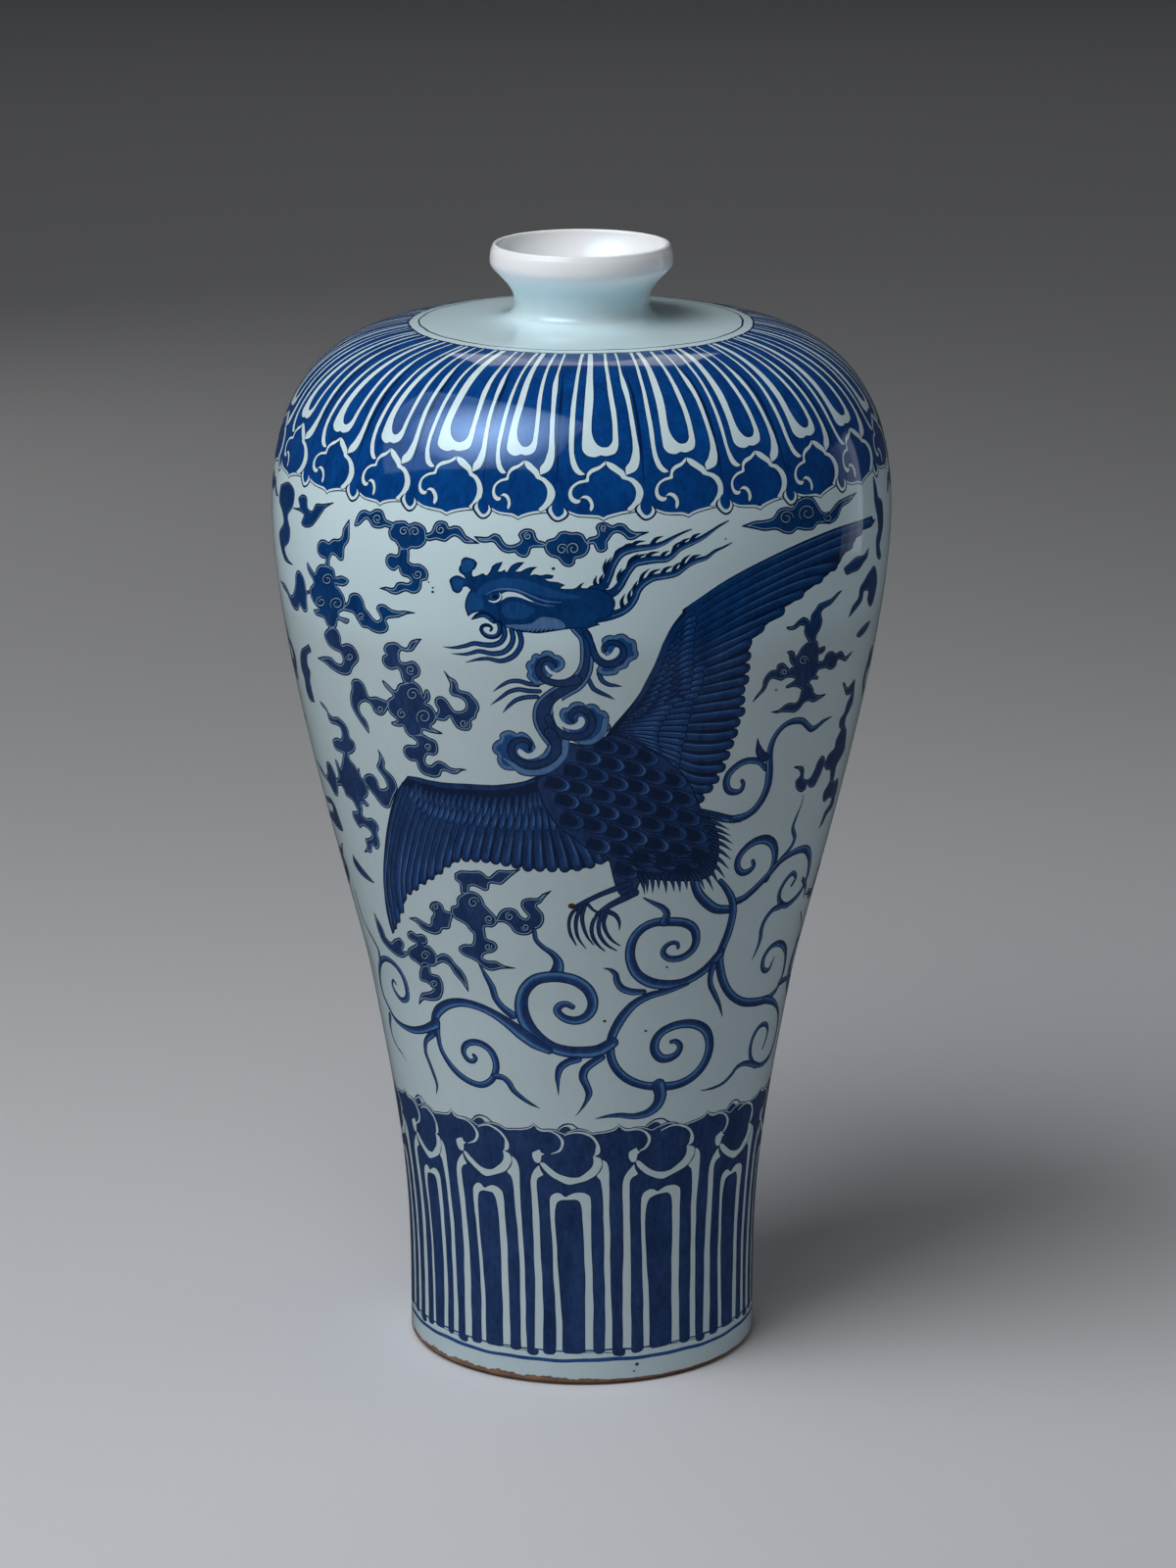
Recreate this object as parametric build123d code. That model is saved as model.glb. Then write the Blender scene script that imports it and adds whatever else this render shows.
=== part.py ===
from build123d import *
import os
from math import cos, radians, sin

# Meiping vase: porcelain sections turned on one axis and luted together with slip.
# Millimetres, +Z up, origin on the axis in the plane the foot stands on.

# Outside, from the foot up
height = 570.0
foot_radius = 89.0
foot_rise = 72.0            # how long the wall stays upright above the foot
swell_radius = 108.5        # where the lower body turns from hollow to full
swell_height = 199.0
swell_lean = 10.5           # degrees from upright at that point
swell_pull_below = 110.0
swell_pull_above = 30.0
belly_radius = 155.3        # widest point
belly_height = 437.0
belly_pull_below = 72.0
belly_pull_above = 45.0
shoulder_radius = 72.8      # where the flat of the shoulder starts
shoulder_below_mouth = 38.8
shoulder_rise = 2.6         # degrees up towards the neck
shoulder_pull_out = 69.0
shoulder_pull_in = 29.0
neck_radius = 33.6          # narrowest point
neck_below_mouth = 28.0
neck_pull_below = 11.0
neck_pull_above = 5.5
lip_radius = 45.7           # widest point of the rolled lip
lip_below_mouth = 8.5
lip_root_radius = 42.4      # corner under the lip
lip_root_below_mouth = 14.2
lip_root_pull = 5.0
lip_pull_below = 2.6
lip_pull_above = 5.0
rim_radius = 43.0           # crest of the mouth
rim_roll = 1.3

# Inside
foot_wall = 12.0
swell_wall = 8.5
belly_wall = 7.0
shoulder_wall = 7.0
throat_radius = 28.5
throat_below_mouth = 35.0   # lower end of the straight throat
throat_length = 11.0
throat_pull = 9.0
cup_pull_below = 5.0        # bell of the mouth above the throat
cup_pull_above = 10.0

# Foot and floor
foot_bevel = 2.5
foot_face = 7.5             # width of the ring it stands on
foot_inner_bevel = 1.5
recess_depth = 10.0
floor_thickness = 12.0

# Luted joints
slip = 1.6                  # thickness of the fired slip
foot_joint_height = 34.0
body_joint_height = 399.0
shoulder_joint_radius = 106.0
neck_joint_radius = 44.0


def handle(point, length, degrees):
    # Bezier handle at an angle from upright, leaning out
    return (point[0] + length * sin(radians(degrees)), point[1] + length * cos(radians(degrees)))


def curve(*points):
    return Bezier(*[(r, 0, z) for r, z in points])


def line(*points):
    return Polyline(*[(r, 0, z) for r, z in points])


# Points of the outline, as radius and height
floor_top = recess_depth + floor_thickness
shoulder_height = height - shoulder_below_mouth
neck_height = height - neck_below_mouth
foot_top_of_bevel = (foot_radius, foot_bevel)
swell = (swell_radius, swell_height)
belly = (belly_radius, belly_height)
shoulder = (shoulder_radius, shoulder_height)
neck_waist = (neck_radius, neck_height)
lip_root = (lip_root_radius, height - lip_root_below_mouth)
lip = (lip_radius, height - lip_below_mouth)
rim_outside = (rim_radius + rim_roll, height - rim_roll)
rim_inside = (rim_radius - rim_roll, height - rim_roll)

outside = [
    curve(foot_top_of_bevel, handle(foot_top_of_bevel, foot_rise, 0),
          handle(swell, -swell_pull_below, swell_lean), swell),
    curve(swell, handle(swell, swell_pull_above, swell_lean),
          handle(belly, -belly_pull_below, 0), belly),
    curve(belly, handle(belly, belly_pull_above, 0),
          handle(shoulder, shoulder_pull_out, 90 + shoulder_rise), shoulder),
    curve(shoulder, handle(shoulder, -shoulder_pull_in, 90 + shoulder_rise),
          handle(neck_waist, -neck_pull_below, 0), neck_waist),
    curve(neck_waist, handle(neck_waist, neck_pull_above, 0),
          handle(lip_root, -lip_root_pull, 45), lip_root),
    curve(lip_root, handle(lip_root, lip_root_pull / 2, 45),
          handle(lip, -lip_pull_below, 0), lip),
    curve(lip, handle(lip, lip_pull_above, 0), rim_outside),
    ThreePointArc((rim_outside[0], 0, rim_outside[1]), (rim_radius, 0, height),
                  (rim_inside[0], 0, rim_inside[1])),
]

throat_low = (throat_radius, height - throat_below_mouth)
throat_high = (throat_radius, height - throat_below_mouth + throat_length)
shoulder_inside = (shoulder_radius, shoulder_height - shoulder_wall)
belly_inside = (belly_radius - belly_wall, belly_height)
swell_inside = (swell_radius - swell_wall, swell_height)
floor_edge = (foot_radius - foot_wall, floor_top)

inside = [
    curve(rim_inside, handle(rim_inside, -cup_pull_above, 10),
          handle(throat_high, cup_pull_below, 0), throat_high),
    line(throat_high, throat_low),
    curve(throat_low, handle(throat_low, -throat_pull, 0),
          handle(shoulder_inside, -shoulder_pull_in, 90 + shoulder_rise), shoulder_inside),
    curve(shoulder_inside, handle(shoulder_inside, shoulder_pull_out, 90 + shoulder_rise),
          handle(belly_inside, belly_pull_above, 0), belly_inside),
    curve(belly_inside, handle(belly_inside, -belly_pull_below, 0),
          handle(swell_inside, swell_pull_above, swell_lean), swell_inside),
    curve(swell_inside, handle(swell_inside, -swell_pull_below, swell_lean),
          handle(floor_edge, foot_rise - floor_top, 0), floor_edge),
]

foot_outer_edge = (foot_radius - foot_bevel, 0)
foot_inner_edge = (foot_radius - foot_bevel - foot_face, 0)
foot_underside = line(floor_edge, (floor_edge[0], foot_inner_bevel), foot_inner_edge,
                      foot_outer_edge, foot_top_of_bevel)
wall = make_face([*outside, *inside, foot_underside])


# Strips of the wall that the slip takes up, level on the body and upright on the shoulder
def level_strip(z):
    reach = belly_radius + foot_radius
    return Plane.XZ * Pos(reach / 2, z) * Rectangle(reach, slip)


def upright_strip(r, top):
    return Plane.XZ * Pos(r, (belly_height + top) / 2) * Rectangle(slip, top - belly_height)


strips = {
    "foot_slip": level_strip(foot_joint_height),
    "body_slip": level_strip(body_joint_height),
    "shoulder_slip": upright_strip(shoulder_joint_radius, height),
    "neck_slip": upright_strip(neck_joint_radius, neck_height),
}
sections = (wall - list(strips.values())).faces().sort_by(Axis.Z)
section_names = ["foot_ring", "lower_body", "upper_body", "shoulder_cap", "neck"]

nodes = {name: revolve(face, Axis.Z) for name, face in zip(section_names, sections)}
for name, strip in strips.items():
    nodes[name] = revolve(wall & strip, Axis.Z)

# Floor disc with its ring of slip, inside the foot
floor_middle = Pos(0, 0, recess_depth + floor_thickness / 2)
disc_radius = foot_radius - foot_wall - slip
nodes["base_disc"] = floor_middle * Cylinder(disc_radius, floor_thickness)
nodes["base_slip"] = floor_middle * (Cylinder(disc_radius + slip, floor_thickness)
                                     - Cylinder(disc_radius, floor_thickness))

os.makedirs("parts", exist_ok=True)
for name, solid in nodes.items():
    export_step(solid, f"parts/{name}.step")
    box = solid.bounding_box()
    print(f"{name}: {solid.volume / 1000:.1f} cm3, z {box.min.Z:.1f} to {box.max.Z:.1f}, r {box.max.X:.1f}")
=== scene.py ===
from math import atan2, ceil, cos, pi, radians, sin
import bpy
import numpy as np
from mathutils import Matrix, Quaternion, Vector
from mathutils.geometry import delaunay_2d_cdt


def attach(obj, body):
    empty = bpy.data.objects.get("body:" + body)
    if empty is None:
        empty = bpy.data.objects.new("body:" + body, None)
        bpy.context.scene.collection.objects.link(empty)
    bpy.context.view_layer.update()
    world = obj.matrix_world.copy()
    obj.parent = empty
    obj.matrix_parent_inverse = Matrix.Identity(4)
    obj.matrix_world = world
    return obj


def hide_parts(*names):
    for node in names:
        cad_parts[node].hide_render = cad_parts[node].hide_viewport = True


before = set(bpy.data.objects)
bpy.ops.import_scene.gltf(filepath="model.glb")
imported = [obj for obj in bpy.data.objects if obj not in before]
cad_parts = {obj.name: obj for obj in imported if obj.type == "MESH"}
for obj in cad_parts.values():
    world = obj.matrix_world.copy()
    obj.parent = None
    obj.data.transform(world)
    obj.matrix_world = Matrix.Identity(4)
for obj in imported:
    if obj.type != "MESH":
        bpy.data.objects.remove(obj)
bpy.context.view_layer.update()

mm = 0.001
print("frame loaded")


# Turned outline, as radius and height in millimetres
def handle(point, length, lean):
    return (point[0] + length * sin(radians(lean)), point[1] + length * cos(radians(lean)))


def bend(*points, steps=60):
    t = np.linspace(0, 1, steps + 1)[:, None]
    rows = [np.array(p, float)[None, :] * np.ones_like(t) for p in points]
    while len(rows) > 1:
        rows = [a * (1 - t) + b * t for a, b in zip(rows, rows[1:])]
    return rows[0]


def chain(*runs):
    out = [runs[0]]
    for run in runs[1:]:
        out.append(run[1:])
    return np.vstack(out)


profile = {
    "bevelTop": (89.0, 2.5), "swell": (108.5, 199.0), "belly": (155.3, 437.0), "shoulder": (72.8, 531.2),
    "waist": (33.6, 542.0), "lipRoot": (42.4, 555.8), "lip": (45.7, 561.5), "rimOut": (44.3, 568.7),
    "rim": (43.0, 570.0), "rimIn": (41.7, 568.7), "throatTop": (28.5, 546.0), "throatLow": (28.5, 535.0),
    "shoulderIn": (72.8, 524.2), "bellyIn": (148.3, 437.0), "swellIn": (100.0, 199.0),
    "floorEdge": (77.0, 22.0), "recessLip": (77.0, 1.5), "faceIn": (79.0, 0.0), "faceOut": (86.5, 0.0),
}
q = profile
rimRoll, lipTop = 1.3, 5.0
# bends: a point with its handle's length and slant in degrees, the next point likewise, steps
bends = {
    "wallOut": [("bevelTop", 72, 0, "swell", -110, 10.5, 120), ("swell", 30, 10.5, "belly", -72, 0, 150),
                ("belly", 45, 0, "shoulder", 69, 92.6, 120), ("shoulder", -29, 92.6, "waist", -11, 0, 60)],
    "lip": [("waist", 5.5, 0, "lipRoot", -5, 45, 24), ("lipRoot", 2.5, 45, "lip", -2.6, 0, 14)],
    "cup": [("rimIn", -10, 10, "throatTop", 5, 0, 40)],
    "throat": [("throatLow", -9, 0, "shoulderIn", -29, 92.6, 60)],
    "wallIn": [("shoulderIn", 69, 92.6, "bellyIn", 45, 0, 60), ("bellyIn", -72, 0, "swellIn", 30, 10.5, 60),
               ("swellIn", -110, 10.5, "floorEdge", 50, 0, 60)],
}


def bent(name):
    return [bend(q[a], handle(q[a], reach, lean), handle(q[b], back, slant), q[b], steps=steps)
            for a, reach, lean, b, back, slant, steps in bends[name]]


wallOut = chain(*bent("wallOut"))
lipOut = chain(
    *bent("lip"), bend(q["lip"], handle(q["lip"], lipTop, 0), q["rimOut"], steps=14),
    np.array([(q["rim"][0] + rimRoll * sin(a), q["rimOut"][1] + rimRoll * cos(a))
              for a in np.linspace(pi / 2, -pi / 2, 11)]))
cupIn = chain(*bent("cup"), np.array([q["throatTop"], q["throatLow"]]), *bent("throat"))
wallIn = chain(*bent("wallIn"))

# The outside unrolled so that shapes keep their angles: turn t from the front, and rise v
stretch = np.hypot(*np.diff(wallOut, axis=0).T) / ((wallOut[1:, 0] + wallOut[:-1, 0]) / 2)
rise = np.concatenate([[0], np.cumsum(stretch)])
slope = np.gradient(wallOut, axis=0)
slope /= np.hypot(*slope.T)[:, None]


def radiusAt(v):
    return np.interp(v, rise, wallOut[:, 0])


def heightAt(v):
    return np.interp(v, rise, wallOut[:, 1])


def riseAtHeight(z):
    return np.interp(z, wallOut[:, 1], rise)


topOut = int(np.argmax(wallOut[:, 0]))


def riseAtRadius(r):
    return float(np.interp(-r, -wallOut[topOut:, 0], rise[topOut:]))


def placed(tv):
    r, z = radiusAt(tv[:, 1]), heightAt(tv[:, 1])
    return np.stack([r * np.sin(tv[:, 0]), -r * np.cos(tv[:, 0]), z], 1) * mm


def facing(tv):
    along = np.stack([np.interp(tv[:, 1], rise, slope[:, 0]), np.interp(tv[:, 1], rise, slope[:, 1])], 1)
    along /= np.hypot(*along.T)[:, None]
    return np.stack([along[:, 1] * np.sin(tv[:, 0]), -along[:, 1] * np.cos(tv[:, 0]), -along[:, 0]], 1)


# Camera, in pixels of the picture and millimetres
picture = {"wide": 1200, "tall": 1600}
sight = {"near": 2380.0, "far": 2980.0, "step": 1.0, "halvings": 24}  # where sight lines meet the vase
offVase = -50.0  # radius taken above the neck and below the foot
view = {"focal": 5390.0, "tip": radians(15.06), "height": 991.0, "back": 2597.0, "side": 3.2}


def onVase(flat):
    px = np.array(flat, float).reshape(-1, 2)
    c, s = cos(view["tip"]), sin(view["tip"])
    dx = (px[:, 0] - picture["wide"] / 2) / view["focal"]
    dy = (picture["tall"] / 2 - px[:, 1]) / view["focal"]
    ray = np.stack([dx, c + dy * s, dy * c - s], 1)
    eye = np.array([view["side"], -view["back"], view["height"]])

    def gap(t):
        p = eye + ray * t[:, None]
        inside = np.interp(p[:, 2], wallOut[:, 1], wallOut[:, 0], left=offVase, right=offVase)
        return np.hypot(p[:, 0], p[:, 1]) - inside

    reach = np.arange(sight["near"], sight["far"], sight["step"])
    field = np.stack([gap(np.full(len(px), t)) for t in reach])
    hit = (field < 0).argmax(axis=0)
    miss = ~(field < 0).any(axis=0)
    hit[miss] = field[:, miss].argmin(axis=0)
    near, far = reach[np.maximum(hit - 1, 0)].copy(), reach[hit].copy()
    for _ in range(sight["halvings"]):
        half = (near + far) / 2
        out = gap(half) > 0
        near, far = np.where(out, half, near), np.where(out, far, half)
    p = eye + ray * np.where(miss, reach[hit], far)[:, None]
    return np.stack([np.arctan2(p[:, 0], -p[:, 1]), riseAtHeight(p[:, 2])], 1)


def slide(a, b, start, end, t):
    return (end - t) / (end - start) * a + (t - start) / (end - start) * b


# Drawn lines: a smooth curve through points, a point given twice is a corner
def smooth(points, closed=False, step=0.011):
    points = np.asarray(points, float)
    if closed:
        points = np.vstack([points, points[:1]])
    same = np.hypot(*np.diff(points, axis=0).T) < 1e-9
    runs, start = [], 0
    for i in np.nonzero(same)[0]:
        runs.append(points[start:i + 1])
        start = i + 1
    runs.append(points[start:])
    whole = closed and len(runs) == 1
    out = []
    for run in runs:
        if len(run) < 2:
            continue
        head = run[-2] if whole else 2 * run[0] - run[1]
        tail = run[1] if whole else 2 * run[-1] - run[-2]
        p = np.vstack([head, run, tail])
        gaps = np.sqrt(np.maximum(np.hypot(*np.diff(p, axis=0).T), 1e-9))
        knot = np.concatenate([[0], np.cumsum(gaps)])
        for i in range(1, len(p) - 2):
            n = max(2, int(ceil(np.hypot(*(p[i + 1] - p[i])) / step)))
            t = np.linspace(knot[i], knot[i + 1], n, endpoint=False)[:, None]
            k = knot[i - 1:i + 3]
            a1 = slide(p[i - 1], p[i], k[0], k[1], t)
            a2 = slide(p[i], p[i + 1], k[1], k[2], t)
            a3 = slide(p[i + 1], p[i + 2], k[2], k[3], t)
            b1 = slide(a1, a2, k[0], k[2], t)
            b2 = slide(a2, a3, k[1], k[3], t)
            out.append(slide(b1, b2, k[1], k[2], t))
        if not whole:
            out.append(run[-1:])
    return np.vstack(out)


def sideways(path):
    d = np.gradient(path, axis=0)
    d /= np.maximum(np.hypot(*d.T), 1e-12)[:, None]
    return np.stack([-d[:, 1], d[:, 0]], 1)


def along(path):
    s = np.concatenate([[0], np.cumsum(np.hypot(*np.diff(path, axis=0).T))])
    return s / max(s[-1], 1e-9)


# points of an outline that are dropped: those with less turn or length since the last one
spare = {"turn": 0.16, "length": 0.05, "corner": 0.5}


def thin(poly):
    d = np.roll(poly, -1, axis=0) - poly
    size = np.hypot(*d.T)
    poly, d, size = poly[size > 1e-6], d[size > 1e-6], size[size > 1e-6]
    if len(poly) < 6:
        return poly
    way = np.arctan2(d[:, 1], d[:, 0])
    turn = np.abs((way - np.roll(way, 1) + pi) % (2 * pi) - pi)
    mark = np.floor(np.cumsum(turn / spare["turn"] + size / spare["length"]))
    keep = np.concatenate([[True], mark[1:] != mark[:-1]]) | (turn > spare["corner"])
    return poly[keep] if keep.sum() > 3 else poly


# Everything painted, in order, as tone and outline; a tone is its row in the list of skins
tones = {"ground": 0, "pale": 1, "mid": 2, "deep": 3, "line": 4, "spot": 5, "bare": 6, "thin": 11}
duskTone = 7
painted = []
repeat = {"turns": [0.0]}
handWaver = 0.30


def uneven(p):
    # the slight waver of a hand going round the pot
    t, v = p.T
    across = 0.5 * np.sin(19 * t + 11 * v + 0.7) + 0.3 * np.sin(47 * t - 23 * v + 2.1)
    across = across + 0.14 * np.sin(131 * t + 97 * v)
    up = 0.4 * np.sin(17 * t - 13 * v + 1.9) + 0.3 * np.sin(43 * t + 29 * v + 0.3)
    up = up + 0.14 * np.sin(109 * t - 143 * v)
    return p + np.stack([across, up], 1) * (handWaver / radiusAt(v))[:, None]


def carried(poly, turn):
    # a plain turn, or the drawn petal stretched to another one's lines
    if np.ndim(turn) == 0:
        return poly + (turn, 0)
    t, keys = poly[:, 0], repeat["keys"]
    moved = np.interp(t, keys, turn) + np.minimum(t - keys[0], 0) + np.maximum(t - keys[-1], 0)
    return uneven(np.stack([moved, poly[:, 1]], 1))


def lay(tone, poly):
    poly = thin(np.asarray(poly, float))
    if len(poly) < 3:
        return
    x, y = poly.T
    if np.sum(x * np.roll(y, -1) - np.roll(x, -1) * y) < 0:
        poly = poly[::-1]
    for turn in repeat["turns"]:
        p = carried(poly, turn)
        p = p - (2 * pi * np.round(p[:, 0].mean() / (2 * pi)), 0)
        painted.append((tones[tone], p))
        if p[:, 0].max() > pi:
            painted.append((tones[tone], p - (2 * pi, 0)))
        if p[:, 0].min() < -pi:
            painted.append((tones[tone], p + (2 * pi, 0)))


leastCap = 0.004  # narrower ends stay square


def ribbon(path, widths, shrink=0.0, lean=0.0):
    n = along(path)
    w = np.interp(n, np.linspace(0, 1, len(widths)), widths) - 2 * shrink
    w = np.maximum(w, 0.02) / radiusAt(path[:, 1])
    side = sideways(path)
    left = path + side * (w * (0.5 + lean))[:, None]
    right = path - side * (w * (0.5 - lean))[:, None]

    def cap(a, b):
        if np.hypot(*(a - b)) < leastCap:
            return np.zeros((0, 2))
        mid, arm = (a + b) / 2, (a - b) / 2
        turn = np.linspace(0, pi, 7)[1:-1]
        return mid + np.outer(np.cos(turn), arm) + np.outer(np.sin(turn), (arm[1], -arm[0]))
    return np.vstack([left, cap(left[-1], right[-1]), right[::-1], cap(right[0], left[0])])


def brush(tone, flat, widths, edge=0.0):
    path = smooth(onVase(flat))
    if edge:
        lay("line", ribbon(path, [w + 2 * edge for w in widths]))
    lay(tone, ribbon(path, widths))


def disc(tv, size, flat=1.0):
    turn = np.linspace(0, 2 * pi, 22, endpoint=False)
    r = size / radiusAt(tv[1])
    return np.stack([tv[0] + r * np.cos(turn), tv[1] + r * flat * np.sin(turn)], 1)


def inset(poly, depth):
    side = sideways(np.vstack([poly[-1:], poly, poly[:1]]))[1:-1]
    x, y = poly.T
    if np.sum(x * np.roll(y, -1) - np.roll(x, -1) * y) < 0:
        side = -side
    return poly + side * (depth / radiusAt(poly[:, 1]))[:, None]


def fill(tone, flat, edge=0.0):
    path = smooth(onVase(flat), closed=True)
    if edge:
        lay("line", path)
        path = inset(path, edge)
    lay(tone, path)


perPx = 0.49  # millimetres to a pixel at the belly


def inMm(widths, less=0.0, least=0.0):
    return [max(w * perPx - less, least) for w in widths]


curlTurns, curlShrink = 1.35, 0.75


def spiral(x, y, r, start, hand=1):
    turn = np.linspace(0, curlTurns * 2 * pi, 15)
    size = r * (1 - curlShrink * turn / turn[-1])
    way = hand * turn + start
    path = smooth(onVase(np.stack([x + size * np.cos(way), y + size * np.sin(way)], 1).ravel()))
    lay("line", ribbon(path, [1.2, 2.1, 1.6]))
    lay("thin", ribbon(path, [0.35, 0.6, 0.45]))


def spread(seen, home, total):
    # petals in sight stand where they were painted, the others evenly behind
    # a row of seen holds one petal's lines from left to right, in degrees from the front
    seen = np.radians(seen)
    gaps = (seen[1:, 0] + seen[:-1, -1]) / 2
    half = np.mean(gaps - seen[:-1, -1])
    edges = np.concatenate([[seen[0, 0] - half], gaps, [seen[-1, -1] + half]])
    rows = [np.concatenate([[edges[k]], seen[k], [edges[k + 1]]]) for k in range(len(seen))]
    own = rows[home]
    share = (own - own[0]) / (own[-1] - own[0])
    rest = total - len(seen)
    width = (2 * pi - edges[-1] + edges[0]) / rest
    repeat["keys"] = own
    repeat["turns"] = rows + [edges[-1] + width * (k + share) for k in range(rest)]


def hemLine(flat):
    # the petal's edge, ending where the next one starts
    hem = smooth(onVase(flat))
    first, last = repeat["keys"][0], repeat["keys"][-1]
    hem[:, 0] += np.linspace(first - hem[0, 0], last - hem[-1, 0], len(hem))
    hem[:, 1] += np.linspace(0, hem[0, 1] - hem[-1, 1], len(hem))
    return hem


ringOut = riseAtRadius(85.6)
ringRow = 365  # pixel row of the ring's front edge
ringGap = 0.0012


def upToRing(flat):
    # tops drawn level with the ring's front edge are carried on to the ring
    p = onVase(flat)
    p[np.array(flat)[1::2] == ringRow, 1] = ringOut - ringGap
    return smooth(p, closed=True)


def reserve(flat, edge=0.45):
    # a place left white, inked round
    shape = upToRing(flat)
    lay("line", inset(shape, -edge))
    lay("ground", shape)


def ring(tone, low, high):
    t = np.linspace(-pi, pi, 361)
    waver = 0.25 * np.sin(5 * t + 0.6) + 0.2 * np.sin(13 * t) + 0.12 * np.sin(29 * t + 2)
    swell = 0.5 + 0.5 * np.sin(4 * t + 1) * np.sin(9 * t)
    low = low + (waver - 0.2 * swell) / radiusAt(low)
    high = high + (waver + 0.2 * swell) / radiusAt(high)
    painted.append((tones[tone], np.vstack([np.stack([t, low], 1), np.stack([t, high], 1)[::-1]])))


# Shoulder band: long petals with cloud-shaped heads
petal = {
    "tongue": [606,365, 605,382, 605,410, 604,440, 607,450, 613,456, 620,456, 624.4,451, 625,444, 624,426,
        620,400, 618,380, 617,365, 617,365, 606,365, 606,365],
    "loop": [601,365, 598,390, 596,420, 594.4,450, 595,460, 600,465, 608,466.4, 613,464.4, 618,465.4,
        628,462, 630.6,456, 630,440, 629,426, 626,406, 622,384, 620,365, 620,365, 601,365, 601,365],
    "leftLine": [593,365, 589,376, 586.5,388, 585,401, 583,417, 581.5,433, 580.5,450, 580.5,461, 582,472,
        586,481, 592,485, 597,484, 597,484, 591,478, 587,469, 585.5,459, 586,446, 587,427, 588.5,408,
        590,388, 592,376, 597,365, 597,365],
    "rightLine": [631,365, 634.5,379.5, 640,394, 643,408, 646,424, 649,442, 652,460, 652,472, 649,479.5,
        643.5,483, 639,484.5, 639,484.5, 638.5,477, 642,472, 645.5,460, 645,447, 642,429, 639,411,
        634.5,394, 632,379.5, 629,365, 629,365],
    "hem": [572,517, 577,522, 588,526.4, 600,527.6, 606,528.4, 611,531, 611,531, 615,528.4, 628,524.4,
        644,521.6, 653,516],
    "headRight": [618,470.4, 618,470.4, 625,472.4, 632,477, 637,481, 639,485.5, 646,488, 653,494, 656.6,502,
        655,511, 650,518, 643,522, 643,522, 640,520, 644,516, 648,510, 649.4,503, 647,496, 642,491,
        635,488.5, 633,485.6, 628,482, 622,478, 618.4,473.6, 618.4,473.6],
    "headLeft": [618,470.4, 618,470.4, 612,475, 604,478, 599,483, 597.6,489, 592,490.4, 586,493.6, 581,499,
        579.6,505, 582,511, 587,513.6, 591,512.6, 592,509.8, 588.4,509.6, 584.5,507, 583.4,503, 585,498,
        590,494, 597,492, 600.6,491, 601,486, 604.5,482, 612,478.6, 617.6,474.4, 617.6,474.4],
    "curl": [591,509, 591,509, 595,505.6, 601,506.6, 605,512, 605.6,518, 603,522, 603,522, 601.4,520,
        602,515, 599,510, 594.5,508],
    "dropEdge": [557,520, 560,527, 567.5,533, 576,530.4, 580.6,524, 576,517, 563,515],
    "drop": [559.4,520.4, 562,526, 568,530.8, 575,528.4, 578.4,523.4, 574,517, 564,515],
    "dropCore": [563,519, 565.5,525, 569.5,527.6, 574,524.6, 575.4,520, 572,512, 565,512],
    "vein": [575,380, 573,405, 571,430, 569,460, 568,492],
    "fineVein": [569,400, 566,425, 563,455, 562,480],
}
hemInk, hemRadius = 0.55, 152
petalsSeen = [
    (-74.4, -71.4, -67.3, -63.5), (-58.8, -55.6, -50.9, -47.5), (-43.4, -41.0, -36.8, -33.6),
    (-30.1, -27.4, -21.5, -18.9), (-15.5, -13.2, -8.8, -5.9), (-1.4, 1.5, 6.8, 10.2),
    (14.2, 17.0, 22.1, 25.8), (28.9, 31.5, 36.6, 39.6), (43.6, 46.4, 51.6, 54.3),
    (58.0, 60.5, 66.0, 69.6),
]
spread(petalsSeen, 5, 25)
hem = hemLine(petal["hem"])
sector = np.vstack([hem, [[hem[-1, 0], ringOut], [hem[0, 0], ringOut]]])
lay("line", sector - (0, hemInk / hemRadius))
lay("deep", sector)
brush("line", petal["vein"], [0.3, 1.2, 1.6, 1.3, 0.4])
brush("line", petal["fineVein"], [0.2, 0.7, 0.8, 0.3])
for name in ("leftLine", "rightLine", "loop"):
    reserve(petal[name])
tongue = upToRing(petal["tongue"])
lay("line", tongue)
lay("deep", inset(tongue, 0.5))
lay("ground", ribbon(hem, [1.0, 0.8, 0.9, 1.1, 1.0, 0.9, 0.9], lean=0.5))
for name in ("headRight", "headLeft", "curl"):
    reserve(petal[name], 0.4)
fill("line", petal["dropEdge"])
fill("ground", petal["drop"])
fill("deep", petal["dropCore"])
capRings = {"innerOut": 80.9, "innerIn": 80.2, "outerOut": 86.3}
ring("line", riseAtRadius(capRings["innerOut"]), riseAtRadius(capRings["innerIn"]))
ring("line", riseAtRadius(capRings["outerOut"]), ringOut)
print("shoulder band drawn", len(painted))

# below the shoulder band the deep wash takes a darker blue, darker still below the body joint
tones["deep"] = duskTone

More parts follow.
